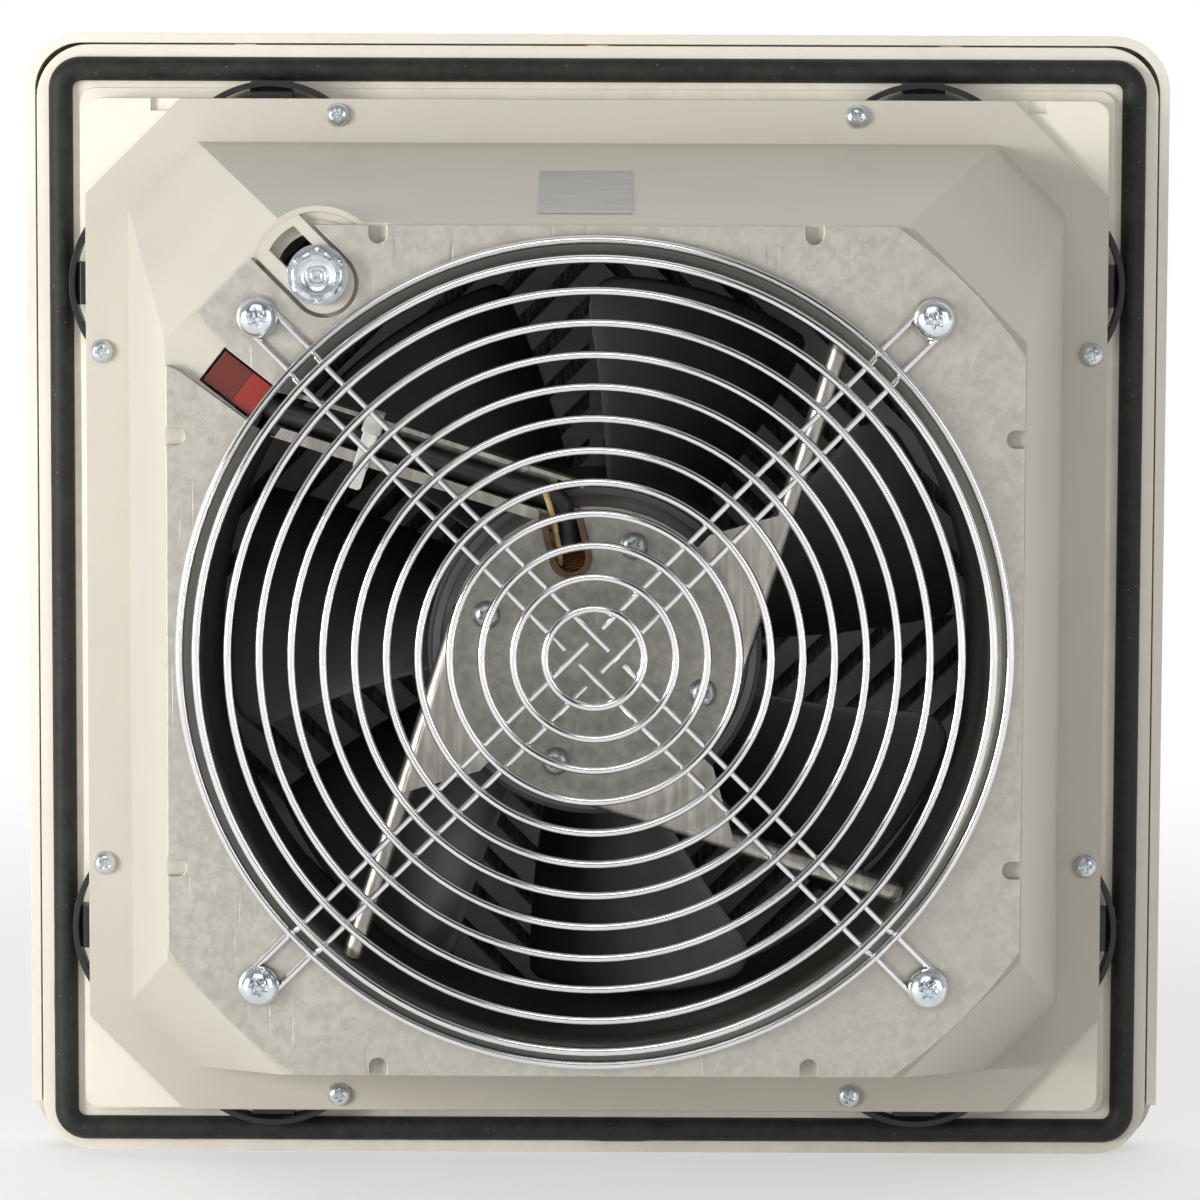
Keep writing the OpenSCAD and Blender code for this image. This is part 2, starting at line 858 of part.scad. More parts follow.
module fan_housing() {
  color([0.72, 0.71, 0.69]) difference() {
    union() {
      difference() {
        slab(-fan_back, fan_t - fan_back) plate_outline();
        rod(flare_r, -fan_back - 1, fan_t - fan_back + 1, fine);
      }
      turned() duct_profile();
      intersection() {
        union() {
          for (k = [0, 2, 3]) turn(90 * k) plain_arm();
          cable_arm();
        }
        rod(duct_r + duct_wall / 2, -fan_back, -duct_front, fine);
      }
      rod(disc_r, -disc_back, disc_t - disc_back, fine);
    }
    slab(-fan_back - 1, disc_t - disc_back + eps) mouth_shape(mouth_w / 2);
    turn(arm_turn + 90) bar_x(channel_high_end, passage_end)
      translate([-fan_back - 1, -channel_high + channel_high_t / 2])
        square([fan_back + 1 - gate_floor - 1, channel_high - channel_low - (channel_high_t + channel_low_t) / 2]);
    slab(-fan_back - 1, -gate_floor) intersection() {
      plug_shape(plug_play);
      difference() {
        circle(2 * duct_r, $fn = fine);
        circle(duct_r - 1, $fn = fine);
      }
    }
    slab(-fan_back - 1, fan_t - fan_back + 6) intersection() {
      polygon(fan_half * gate_shares);
      difference() {
        circle(2 * duct_r, $fn = fine);
        circle(duct_r - 1, $fn = fine);
      }
    }
    for (i = [0 : 3]) turn(disc_screw_turn + 90 * i) translate([disc_screw_r, 0, 0])
      rod(disc_bolt_r + screw_fit, -fan_back, -disc_back + disc_t + 1, small);
    for (sx = [-1, 1], sz = [-1, 1]) at([sx * screw_xy, sz * screw_xy])
      rod(fan_screw_r + screw_fit, -fan_back - 1, -fan_back + fan_t + 1, small);
  }
}

// motor
module motor_screws() {
  color([0.62, 0.64, 0.66]) for (i = [0 : 3])
    turn(disc_screw_turn + 90 * i) translate([disc_screw_r, 0, 0]) {
      pan_head(disc_pan_r, disc_pan_t, -disc_back);
      rod(disc_bolt_r, -disc_back - eps, 1 - base_back + base_t, small);
    }
}

module stator_base() {
  bore = bearing_d / 2 + eps;
  color([0.6, 0.6, 0.6]) difference() {
    union() {
      rod(base_r, -base_back, base_t - base_back, fine);
      rod(bore + tube_wall - eps, eps - base_back, -tube_front, fine);
    }
    rod(bore, -base_back - 1, 1 - tube_front, fine);
    slab(-base_back - 1, base_t - base_back + 1) mouth_shape(mouth_w / 2);
    for (i = [0 : 3]) turn(disc_screw_turn + 90 * i) translate([disc_screw_r, 0, 0])
      rod(disc_bolt_r + screw_fit, -base_back - 1, base_t - base_back + 1, small);
  }
}

// bearing drawn as one ring with a shield groove on each face
module bearing(y0) {
  wall = (bearing_d - shaft_d) / 2;
  color([0.7, 0.72, 0.74]) difference() {
    tube(bearing_d / 2, shaft_d / 2 + turn_fit, y0, y0 + bearing_w);
    for (y = [y0 - 1, y0 + bearing_w - shield_deep])
      tube(bearing_d / 2 - wall * race_share, shaft_d / 2 + wall * race_share, y, y + 1 + shield_deep);
  }
}

module bearing_rear() bearing(-rear_bearing_back);
module bearing_front() bearing(-front_bearing_front - bearing_w);

module rotor_shaft() {
  color([0.75, 0.75, 0.76]) difference() {
    rod(shaft_d / 2, -shaft_back, -shaft_front);
    tube(shaft_d, groove_r, -groove_y, -groove_y + clip_ring_t + 2 * eps);
  }
}

module shaft_circlip() {
  color([0.3, 0.3, 0.3]) difference() {
    tube(clip_ring_r, groove_r + eps, eps - groove_y, eps - groove_y + clip_ring_t);
    translate([0, -groove_y, clip_ring_r]) cube([groove_r, 3 * clip_ring_t, 2 * clip_ring_r], center = true);
  }
}

module stator_core() {
  color([0.45, 0.45, 0.47]) difference() {
    tube(stator_r, spigot_r + eps, -stator_back, -stator_front);
    for (i = [0 : slots - 1]) turn(i * 360 / slots) {
      translate([slot_mid, 0, 0]) rod(stator_slot_r, -stator_back - 1, 1 - stator_front, small);
      translate([slot_mid, -stator_back - 1, -slot_mouth / 2])
        cube([stator_r, stator_back - stator_front + 2, slot_mouth]);
    }
  }
}

module stator_windings() {
  mid = (winding_in + winding_out) / 2;
  half = (winding_out - winding_in) / 2;
  color([0.6, 0.33, 0.16]) for (y = [-stator_back - winding_t, -stator_front + eps])
    turned() translate([mid, y + winding_t / 2]) {
      square([2 * half - winding_t, winding_t - eps], center = true);
      for (s = [-1, 1]) translate([s * (half - winding_t / 2), 0])
        circle(winding_t / 2 - eps / 2, $fn = small);
    }
}

module rotor_core() {
  color([0.45, 0.45, 0.47]) tube(cup_in - eps, core_in, -stator_back, -stator_front);
}

module rotor_cup() {
  color([0.2, 0.2, 0.21]) difference() {
    turned() polygon([[cup_in, -cup_back], [cup_out, -cup_back], [cup_out, -cup_front], [0, -cup_front],
                      [0, -cup_boss_back], [cup_boss_r, -cup_boss_back],
                      [cup_boss_r, -cup_front - cup_face_t], [cup_in, -cup_front - cup_face_t]]);
    rod(shaft_d / 2 + eps / 2, -cup_boss_back - 1, 1 - cup_front);
    rivet_holes();
  }
}

module rivet_holes() {
  for (i = [0 : rivet_n - 1]) turn(i * 360 / rivet_n) translate([rivet_r, 0, 0])
    rod(rivet_d / 2 + eps, -cup_back, 0, small);
}

// impeller
function lerp(a, b, t) = a + (b - a) * t;
function arc_trim(r, c) = r < tip_r - c ? 0 : c - sqrt(max(0, c * c - pow(r - tip_r + c, 2)));
function blade_radius(i) = lerp(hub_r - blade_embed, tip_r, sin(90 * i / blade_rows));
function blade_point(i, j, side) =
  let (r = blade_radius(i),
       mm = 180 / (PI * r),
       lead = blade_le_turn - blade_root_lag * (tip_r - r) / (tip_r - hub_r),
       a0 = lead + arc_trim(r, le_corner) * mm,
       a1 = lead + blade_span - arc_trim(r, te_corner) * mm,
       u = j / blade_cols,
       a = lerp(a0, a1, u),
       w = (a - lead) / blade_span,
       y = lerp(blade_le_y, blade_te_y, w) + blade_bulge * sin(180 * w) + side * blade_t / 2)
  [r * cos(a), -y, r * sin(a)];

// two triangles of a face whose corners run clockwise, seen from outside
function quad(a, b, c, d) = [[a, b, c], [a, c, d]];

module blade() {
  n = blade_cols + 1;
  m = (blade_rows + 1) * n;
  tip = blade_rows * n;
  te = blade_cols;
  grid = [for (side = [-1, 1], i = [0 : blade_rows], j = [0 : blade_cols]) blade_point(i, j, side)];
  faces = [for (i = [0 : n : tip - n], j = [0 : te - 1])
             each concat(quad(i + j, i + n + j, i + n + j + 1, i + j + 1),
                         quad(m + i + j, m + i + j + 1, m + i + n + j + 1, m + i + n + j))];
  ends = [for (j = [0 : te - 1])
            each concat(quad(j, j + 1, m + j + 1, m + j),
                        quad(tip + j, m + tip + j, m + tip + j + 1, tip + j + 1))];
  edges = [for (i = [0 : n : tip - n])
             each concat(quad(i, m + i, m + i + n, i + n),
                         quad(i + te, i + n + te, m + i + n + te, m + i + te))];
  polyhedron(grid, concat(faces, ends, edges));
}

module impeller() {
  inner = cup_out + eps;
  color([0.12, 0.12, 0.13]) difference() {
    union() {
      turned() polygon([[inner, -hub_back], [hub_r, -hub_back], [hub_r, -hub_front], [inner, -hub_front],
                        [inner, -hub_face], [shaft_d, -hub_face],
                        [shaft_d, -hub_face - hub_face_t], [inner, -hub_face - hub_face_t]]);
      for (i = [0 : blades - 1]) turn(i * 360 / blades) blade();
    }
    rivet_holes();
  }
}

module impeller_rivets() {
  color([0.7, 0.7, 0.72]) for (i = [0 : rivet_n - 1]) turn(i * 360 / rivet_n) translate([rivet_r, 0, 0]) {
    rod(rivet_d / 2, -cup_front - cup_face_t - eps, -hub_face + eps, small);
    rod(rivet_head_r, -cup_front - cup_face_t - rivet_head_t, -cup_front - cup_face_t, small);
    rod(rivet_head_r, -hub_face, -hub_face + rivet_head_t, small);
  }
}

// wire guard
module wire_ring(r, y) {
  turned() translate([r, y]) circle(ring_wire_r, $fn = small);
}

// bend from the raised wire towards the plate, and the bend that lays it flat again
function bend_down(z) = [for (a = [0 : bend_step : bend_turn])
  [kink_r + bend_r * sin(a), bend_r * (1 - cos(a)) - leg_up, z]];
function bend_flat(z) = [for (a = [bend_turn : -bend_step : 0])
  [foot_r - bend_r * sin(a), -leg_low - bend_r * (1 - cos(a)), z]];
function reverse(p) = [for (i = [len(p) - 1 : -1 : 0]) p[i]];

// hairpin: two wires from the middle, bent down to the plate, and a loop round the screw
module guard_leg() {
  loop = [for (a = [-90 : loop_step : 90]) [screw_pos + leg_gap * cos(a), -leg_low, leg_gap * sin(a)]];
  cord(concat([[long_end, -leg_up, -leg_gap]], bend_down(-leg_gap), bend_flat(-leg_gap), loop,
              reverse(bend_flat(leg_gap)), reverse(bend_down(leg_gap)), [[short_end, -leg_up, leg_gap]]),
       leg_wire_r, wire_sides);
}

module finger_guard() {
  reach = leg_wire_r + ring_wire_r - weld;
  color([0.8, 0.8, 0.82]) {
    for (i = [0 : guard_rings - 1]) wire_ring(guard_first_r + i * guard_pitch, -leg_up - reach);
    wire_ring(outer_ring_r, -leg_low - reach);
    for (k = [0 : 3]) turn(45 + 90 * k) guard_leg();
  }
}

module guard_screws() {
  seat = leg_low + leg_wire_r + eps;
  color([0.8, 0.8, 0.82]) for (sx = [-1, 1], sz = [-1, 1]) at([sx * screw_xy, sz * screw_xy]) {
    pan_head(pan_r, pan_t, -seat);
    rod(fan_screw_r, -seat - eps, -end_back + end_t + nut_t + 1, small);
  }
}

module guard_nuts() {
  color([0.75, 0.77, 0.8]) for (sx = [-1, 1], sz = [-1, 1]) at([sx * screw_xy, sz * screw_xy])
    hex_nut(nut_af, fan_screw_r + eps, end_t - end_back, end_t - end_back + nut_t);
}

// cable and its fittings
function unit(v) = v / norm(v);
function tangent(p, i) = unit(p[min(i + 1, len(p) - 1)] - p[max(i - 1, 0)]);

// round cord along a list of points
module cord(p, r, sides) {
  last = len(p) - 1;
  rings = [for (i = [0 : last]) let (t = tangent(p, i), s = unit(cross(t, [0, 1, 0])), u = cross(s, t))
    each [for (k = [0 : sides - 1]) p[i] + r * (cos(360 * k / sides) * s + sin(360 * k / sides) * u)]];
  walls = [for (i = [0 : last - 1], k = [0 : sides - 1]) let (a = i * sides + k, b = i * sides + (k + 1) % sides)
    each [[a, b, b + sides], [a, b + sides, a + sides]]];
  polyhedron(rings, concat(walls, [[for (k = [sides - 1 : -1 : 0]) k]],
                           [[for (k = [0 : sides - 1]) last * sides + k]]));
}

module connector_block() {
  color([0.62, 0.16, 0.13]) difference() {
    slab(-plug_back, plug_deep - plug_back) plug_shape(0);
    at(plug_mid) turn(plug_turn) {
      translate([plug_l / 2 - plug_grip, plug_deep / 2 - plug_back - plug_deep / 2 + cable_drop, 0])
        rotate([0, 90, 0]) cylinder(h = plug_grip + 1, r = cable_r + slip, $fn = round_sides);
      for (s = [-1, 1]) translate([-plug_l / 2 - 1, plug_deep / 2 - plug_back, s * plug_bore_x])
        rotate([0, 90, 0]) cylinder(h = plug_bore_l + 1, r = plug_bore_r, $fn = small);
    }
  }
}

module motor_cable() {
  color([0.12, 0.12, 0.12]) cord(cable_path, cable_r, 12);
}

module motor_lead() {
  color([0.75, 0.6, 0.3]) cord(lead_path, lead_r, 10);
}

module cable_tie() {
  low = channel_low - channel_low_t / 2 - eps;
  high = channel_high + channel_high_t / 2 + eps;
  color([0.93, 0.93, 0.9]) turn(arm_turn + 90) bar_x(tie_at, tie_at + tie_w) {
    difference() {
      translate([-channel_back - tie_t - eps, -high - tie_t])
        square([channel_back - channel_floor + 2 * tie_t + 2 * eps, high - low + 2 * tie_t]);
      translate([-channel_back - eps, -high]) square([channel_back - channel_floor + 2 * eps, high - low]);
    }
    translate([-channel_back - tie_head - tie_t, -high]) square([tie_head + eps, tie_w]);
  }
}

module cable_grommet() {
  color([0.55, 0.42, 0.25]) slab(-disc_back - grommet_lip, disc_t - disc_back - eps) intersection() {
    difference() {
      mouth_shape(mouth_w / 2 - eps);
      mouth_shape(mouth_w / 2 - grommet_t);
    }
    circle(disc_r, $fn = fine);
  }
}

front_cover();
base_frame();
flange_gasket();
filter_mat();
support_grid();
clip_top_left();
clip_top_right();
clip_bottom_left();
clip_bottom_right();
clip_left_upper();
clip_left_lower();
clip_right_upper();
clip_right_lower();
fan_shroud();
shroud_screws();
rating_label();
earth_bolt();
earth_washer();
earth_nut();
fan_housing();
motor_screws();
stator_base();
bearing_rear();
bearing_front();
rotor_shaft();
shaft_circlip();
stator_core();
stator_windings();
rotor_core();
rotor_cup();
impeller();
impeller_rivets();
finger_guard();
guard_screws();
guard_nuts();
connector_block();
motor_cable();
motor_lead();
cable_tie();
cable_grommet();
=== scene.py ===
"""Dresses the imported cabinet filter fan: its finishes, seal, mat, impeller, guard welds, fasteners and cable.

X is right, Y points to the front cover, Z is up. The frame and the finishes are in metres; what makes meshes
works in millimetres.
"""

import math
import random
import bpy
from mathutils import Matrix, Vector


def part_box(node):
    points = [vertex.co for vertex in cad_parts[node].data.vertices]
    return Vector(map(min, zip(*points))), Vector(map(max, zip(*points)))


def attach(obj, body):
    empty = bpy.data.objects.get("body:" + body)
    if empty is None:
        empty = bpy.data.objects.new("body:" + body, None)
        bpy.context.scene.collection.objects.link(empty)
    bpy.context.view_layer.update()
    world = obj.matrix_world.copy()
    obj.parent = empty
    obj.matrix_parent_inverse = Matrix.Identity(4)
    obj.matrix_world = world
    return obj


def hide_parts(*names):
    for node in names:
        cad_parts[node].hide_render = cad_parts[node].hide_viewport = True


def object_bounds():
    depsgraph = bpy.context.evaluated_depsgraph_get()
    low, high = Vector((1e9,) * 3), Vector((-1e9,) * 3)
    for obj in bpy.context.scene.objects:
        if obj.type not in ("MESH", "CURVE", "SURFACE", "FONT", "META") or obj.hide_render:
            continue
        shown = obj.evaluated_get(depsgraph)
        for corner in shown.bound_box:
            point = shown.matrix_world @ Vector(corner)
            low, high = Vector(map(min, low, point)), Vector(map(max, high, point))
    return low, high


bl_info = {
    "name": "Cabinet Filter Fan",
    "version": (1, 0, 0),
    "blender": (4, 5, 0),
    "location": "3D View > Sidebar > Filter Fan",
    "description": "Finishes and fine parts of a cabinet filter fan",
    "category": "Object",
}

import bpy
from bpy.props import FloatProperty, FloatVectorProperty, IntProperty, PointerProperty
from mathutils import Matrix, Vector

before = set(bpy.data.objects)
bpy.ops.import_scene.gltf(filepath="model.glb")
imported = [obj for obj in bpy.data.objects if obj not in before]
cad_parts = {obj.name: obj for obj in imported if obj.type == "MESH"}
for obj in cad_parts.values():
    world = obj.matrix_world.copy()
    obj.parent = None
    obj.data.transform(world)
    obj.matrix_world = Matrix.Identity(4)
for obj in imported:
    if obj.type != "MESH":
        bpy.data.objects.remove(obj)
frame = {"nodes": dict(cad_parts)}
CAD_BOX = [list(corner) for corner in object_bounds()]
MM = 0.001


# ---------------------------------------------------------------- sizes and colours


def number(name, default, description, **limits):
    return FloatProperty(name=name, description=description, default=default, **limits)


def length(name, default, description):
    return number(name, default, description, min=0.0001, unit="LENGTH")


def colour(name, default, description):
    return FloatVectorProperty(name=name, description=description, default=default,
                               subtype="COLOR", size=3, min=0, max=1)


class FanSizes(bpy.types.PropertyGroup):
    """Sizes of the pieces that are made here."""

    cable_d: length("Cable diameter", 0.0065, "Outside of the sleeved motor cable")
    lead_d: length("Lead diameter", 0.0016, "Outside of the thin lead beside the cable")
    bead_unevenness: length("Bead unevenness", 0.00016, "How far the poured seal wanders from its section")
    mat_fluff: length("Mat fluff", 0.0009, "How uneven the faces of the filter mat are")
    loose_fibres: IntProperty(name="Loose fibres", description="Fibres that lie on the faces of the mat",
                              default=900, min=0)
    weld_r: length("Weld radius", 0.00115, "Radius of the weld nugget where two guard wires cross")
    star_reach: length("Star recess", 0.0026, "Radius of the recess in the guard screws")
    cross_reach: length("Cross recess", 0.0019, "Radius of the recess in the small screws")
    tie_rib: length("Tie rib", 0.0007, "Distance between the teeth of the cable tie")
    grain: length("Moulded grain", 0.00045, "Size of the grain on moulded plastic")


class FanColours(bpy.types.PropertyGroup):
    """Colours of the finishes, as linear values."""

    cover: colour("Cover", (0.76, 0.72, 0.64), "Warm white plastic of the cover")
    frame: colour("Frame", (0.77, 0.73, 0.645), "Warm white plastic of the snap-in frame")
    hood: colour("Hood", (0.54, 0.51, 0.446), "Beige plastic of the hood")
    seal: colour("Seal", (0.013, 0.0155, 0.013), "Green-black foam of the sealing bead")
    mat: colour("Mat", (0.20, 0.20, 0.187), "Grey fibre of the filter mat")
    grid: colour("Grid", (0.60, 0.60, 0.575), "Grey plastic of the support grid")
    clip: colour("Clips", (0.012, 0.012, 0.014), "Black plastic of the snap clips")
    zinc: colour("Zinc", (0.66, 0.70, 0.73), "Zinc plating of the screws")
    casting: colour("Casting", (0.62, 0.593, 0.534), "Tumbled aluminium of the fan plate")
    disc: colour("Disc", (0.31, 0.302, 0.27), "Duller aluminium of the motor disc")
    chrome: colour("Chrome", (0.86, 0.86, 0.87), "Bright plating of the guard")
    impeller: colour("Impeller", (0.022, 0.022, 0.023), "Black plastic of the impeller")
    plug_bright: colour("Plug, light half", (0.27, 0.026, 0.017), "Red of the connector, towards the cable")
    plug_dark: colour("Plug, dark half", (0.125, 0.020, 0.013), "Darker red of the connector")
    sleeve: colour("Sleeve", (0.016, 0.016, 0.017), "Black sleeve of the motor cable")
    lead: colour("Lead", (0.50, 0.36, 0.13), "Amber sheath of the thin lead")
    tie: colour("Tie", (0.74, 0.74, 0.70), "White nylon of the cable tie")
    grommet: colour("Grommet", (0.085, 0.045, 0.022), "Dark brown rubber of the grommet")
    label: colour("Label", (0.40, 0.40, 0.385), "Silver foil of the bare label")


class FanStudio(bpy.types.PropertyGroup):
    """Camera and light."""

    lens: number("Lens", 162.575, "Focal length in millimetres on a 36 mm sensor", min=20)
    distance: length("Camera distance", 1.55288, "From the camera to the point that it looks at")
    elevation: number("Elevation", 0.1007, "Angle above the horizon", subtype="ANGLE")
    roll: number("Roll", 0.0036, "Turn of the camera about its own axis", subtype="ANGLE")
    key: number("Key light", 26, "Power of the soft light at the left, in watts", min=0)
    fill: number("Fill light", 8, "Power of the soft light at the right, in watts", min=0)
    top: number("Top light", 6.5, "Power of the soft light above, in watts", min=0)
    sky: number("Surroundings", 0.36, "Strength of the light room round the object", min=0)


CAMERA_YAW = 0.0013  # radians; the camera stands this far round to +X from straight behind the part
CAMERA_TARGET = Vector((1.2018, 0, 1.3381))  # millimetres

# middle line of the motor cable and of the thin lead, in millimetres, as part.scad has them
CABLE_ROUTE = [(-88.31, -121, 66.65), (-84.3, -121, 63.72), (-80.05, -121, 62.23), (-74.33, -121, 60.44),
               (-67.65, -121, 58.35), (-60.97, -121, 56.25), (-54.3, -121, 54.2), (-41.9, -121, 50.3),
               (-29.5, -121, 46.4), (-18, -121, 43), (-12.8, -120.9, 41.4), (-9.1, -120.7, 38.8),
               (-7.5, -120.7, 35), (-7, -120.7, 31.3), (-7.1, -120.7, 27.8)]
LEAD_ROUTE = [(-13.4, -125.6, 43.2), (-12.2, -125.8, 39.6), (-10.9, -125.6, 35.2), (-10.2, -125.2, 31),
              (-9.4, -124.4, 26.8), (-9.2, -123, 23.2)]

# radii in metres over which the colour of the casting changes, from its middle outwards; between the wall radii the
# duct wall is painted dark as shade
DISC_RIM = (0.0386, 0.0394)
ARM_START = (0.0386, 0.0396)
ARM_END = (0.1005, 0.1025)
WALL_INSIDE = (0.1010, 0.1020)
WALL_OUTSIDE = (0.1093, 0.1100)

# middle of the connector in metres, its turn in the plate, and where its dark half begins along it
PLUG_X, PLUG_Z, PLUG_TURN = -0.09332, 0.07042, math.radians(-38)
PLUG_SPLIT = 0.0008


# ---------------------------------------------------------------- shader maths


class Wire:
    """One output of a node; sums and products of it add their Math nodes."""

    def __init__(self, finish, socket):
        self.finish, self.socket = finish, socket

    def maths(self, operation, *values):
        return self.finish.node("ShaderNodeMath", {"operation": operation}, dict(enumerate(values)))

    def __add__(self, other):
        return self.maths("ADD", self, other)

    def __sub__(self, other):
        return self.maths("SUBTRACT", self, other)

    def __rsub__(self, other):
        return self.maths("SUBTRACT", other, self)

    def __mul__(self, other):
        return self.maths("MULTIPLY", self, other)

    def __pow__(self, other):
        return self.maths("POWER", self, other)

    def __abs__(self):
        return self.maths("ABSOLUTE", self)

    __radd__, __rmul__ = __add__, __mul__

    def sine(self):
        return self.maths("SINE", self)

    def larger(self, other):
        return self.maths("MAXIMUM", self, other)

    def ease(self, low, high, start=0.0, end=1.0):
        """Smooth step from start to end while the value goes from low to high."""
        return self.finish.node("ShaderNodeMapRange", {"interpolation_type": "SMOOTHSTEP"},
                                {0: self, 1: low, 2: high, 3: start, 4: end})

    def part(self, name):
        return Wire(self.finish, self.socket.node.outputs[name])


class Finish:
    """A material whose nodes are written as expressions."""

    def __init__(self, name, **fixed):
        self.material = bpy.data.materials.new(name)
        self.material.use_nodes = True
        self.tree = self.material.node_tree
        self.tree.nodes.clear()
        self.shader = self.tree.nodes.new("ShaderNodeBsdfPrincipled")
        self.output = self.tree.nodes.new("ShaderNodeOutputMaterial")
        self.tree.links.new(self.shader.outputs[0], self.output.inputs[0])
        self.set(**fixed)
        self.place = self.node("ShaderNodeTexCoord").part("Object")

    def node(self, kind, settings=None, sockets=None, output=0):
        """A node of that type, with its settings made first and then its sockets filled or linked."""
        made = self.tree.nodes.new(kind)
        for key, value in (settings or {}).items():
            setattr(made, key, value)
        for key, value in (sockets or {}).items():
            if isinstance(value, Wire):
                self.tree.links.new(value.socket, made.inputs[key])
            else:
                made.inputs[key].default_value = value
        return Wire(self, made.outputs[output])

    def set(self, **values):
        """Sockets of the surface shader, by name with underscores for spaces."""
        for key, value in values.items():
            socket = self.shader.inputs[key.replace("_", " ")]
            if isinstance(value, Wire):
                self.tree.links.new(value.socket, socket)
            elif hasattr(value, "__len__"):
                socket.default_value = (*value[:3], 1)
            else:
                socket.default_value = value
        return self

    def mix(self, factor, a, b, mode="MIX"):
        a, b = ((*v[:3], 1) if not isinstance(v, Wire) else v for v in (a, b))
        return self.node("ShaderNodeMix", {"data_type": "RGBA", "blend_type": mode}, {0: factor, 6: a, 7: b}, 2)

    def vary(self, wire, base, dark, light, low=0.3, high=0.7):
        """From a darker to a lighter share of a colour while the wire goes from low to high."""
        return self.mix(wire.ease(low, high), shade(base, dark), shade(base, light))

    def moved(self, scale, turn=(0, 0, 0)):
        return self.node("ShaderNodeMapping", {}, {0: self.place, 2: turn, 3: scale})

    def noise(self, size, detail=2.0, rough=0.5, warp=0.0, at=None):
        """Soft noise whose lumps are about that many metres across."""
        return self.node("ShaderNodeTexNoise", {}, {"Vector": at or self.place, "Scale": 1 / size, "Detail": detail,
                                                    "Roughness": rough, "Distortion": warp})

    def cells(self, size):
        return self.node("ShaderNodeTexVoronoi", {"feature": "F1"}, {"Vector": self.place, "Scale": 1 / size})

    def bump(self, height, distance, strength, normal=None):
        sockets = {"Height": height, "Distance": distance, "Strength": strength}
        if normal is not None:
            sockets["Normal"] = normal
        return self.node("ShaderNodeBump", {}, sockets)

    def soft_edge(self, radius):
        """The normal of the surface with its edges rounded to that radius."""
        return self.node("ShaderNodeBevel", {"samples": 4}, {"Radius": radius})

    def edge(self, rounded):
        """From 0 on faces to 1 on the rounded edges."""
        flat = self.node("ShaderNodeNewGeometry").part("Normal")
        along = self.node("ShaderNodeVectorMath", {"operation": "DOT_PRODUCT"}, {0: rounded, 1: flat}, "Value")
        return (1 - along).ease(0.01, 0.16)

    def axes(self):
        split = self.node("ShaderNodeSeparateXYZ", {}, {0: self.place})
        return split, split.part("Y"), split.part("Z")

    def corner_shade(self, distance):
        """From 0 in the open to 1 in corners, by ambient occlusion; mixed into a colour it paints shade in the corners.
        """
        open_share = self.node("ShaderNodeAmbientOcclusion", {"samples": 4}, {"Distance": distance}, "AO")
        return open_share.ease(0.25, 0.85, 1.0, 0.0)


def shade(base, share):
    return tuple(min(1.0, c * share) for c in base)


# ---------------------------------------------------------------- finishes


def moulded(name, base, grain, rough=0.46, dust=0.25):
    """Injection-moulded plastic with a fine spark-eroded grain, patchy darkening in its corners that is partly dust and
    partly painted shade, and rubbed edges.
    """
    f = Finish(name, Specular_IOR_Level=0.42)
    rounded = f.soft_edge(0.00045)
    cloud = f.noise(0.055, 3.0, 0.55)
    speck = f.noise(0.0011, 2.0, 0.6)
    tone = f.vary(cloud, base, 0.965, 1.02)
    tone = f.mix(speck.ease(0.62, 0.75) * 0.12, tone, shade(base, 0.8))
    tone = f.mix(f.edge(rounded) * 0.35, tone, shade(base, 1.12))
    # corners darkened in patches by ambient occlusion: partly dust, partly painted shade
    corner_dust_and_shade = f.corner_shade(0.012) * f.noise(0.009, 3.0, 0.6).ease(0.3, 0.75) * dust
    tone = f.mix(corner_dust_and_shade, tone, (0.30, 0.27, 0.22))
    pits = f.noise(grain, 2.0, 0.6) + f.noise(grain * 0.4, 1.0) * 0.4
    return f.set(Base_Color=tone, Roughness=(cloud * 0.10 + speck * 0.06 + (rough - 0.08)),
                 Normal=f.bump(pits, 0.00005, 0.55, rounded))


def black_plastic(name, base, rough, dust=0.2):
    f = Finish(name, Specular_IOR_Level=0.5)
    rounded = f.soft_edge(0.0004)
    haze = f.noise(0.018, 3.0, 0.6)
    tone = f.mix(haze.ease(0.35, 0.7) * dust, base, shade(base, 2.4))
    tone = f.mix(f.edge(rounded) * 0.5, tone, shade(base, 3.2))
    lines = f.noise(0.004, 2.0, 0.5, at=f.moved((1, 0.12, 1)))
    return f.set(Base_Color=tone, Roughness=haze * 0.16 + lines * 0.06 + (rough - 0.1),
                 Normal=f.bump(f.noise(0.0005, 2.0, 0.6), 0.00003, 0.5, rounded))


def zinc_plate(name, base, rough=0.27, tint=0.5):
    """Zinc plating with faint blue and yellow clouds and small handling marks."""
    f = Finish(name, Metallic=1.0)
    rounded = f.soft_edge(0.00018)
    cloud = f.noise(0.004, 3.0, 0.6)
    tone = f.vary(cloud, base, 0.86, 1.06)
    tone = f.mix(f.noise(0.0026, 2.0, 0.5, 0.6).ease(0.55, 0.75) * tint, tone, (0.62, 0.60, 0.47))
    tone = f.mix(f.noise(0.003, 1.0, 0.5, 0.3).ease(0.6, 0.8) * tint, tone, (0.45, 0.53, 0.62))
    marks = f.noise(0.0009, 3.0, 0.7)
    return f.set(Base_Color=tone, Roughness=cloud * 0.16 + marks * 0.10 + (rough - 0.12),
                 Normal=f.bump(marks, 0.00002, 0.5, rounded))


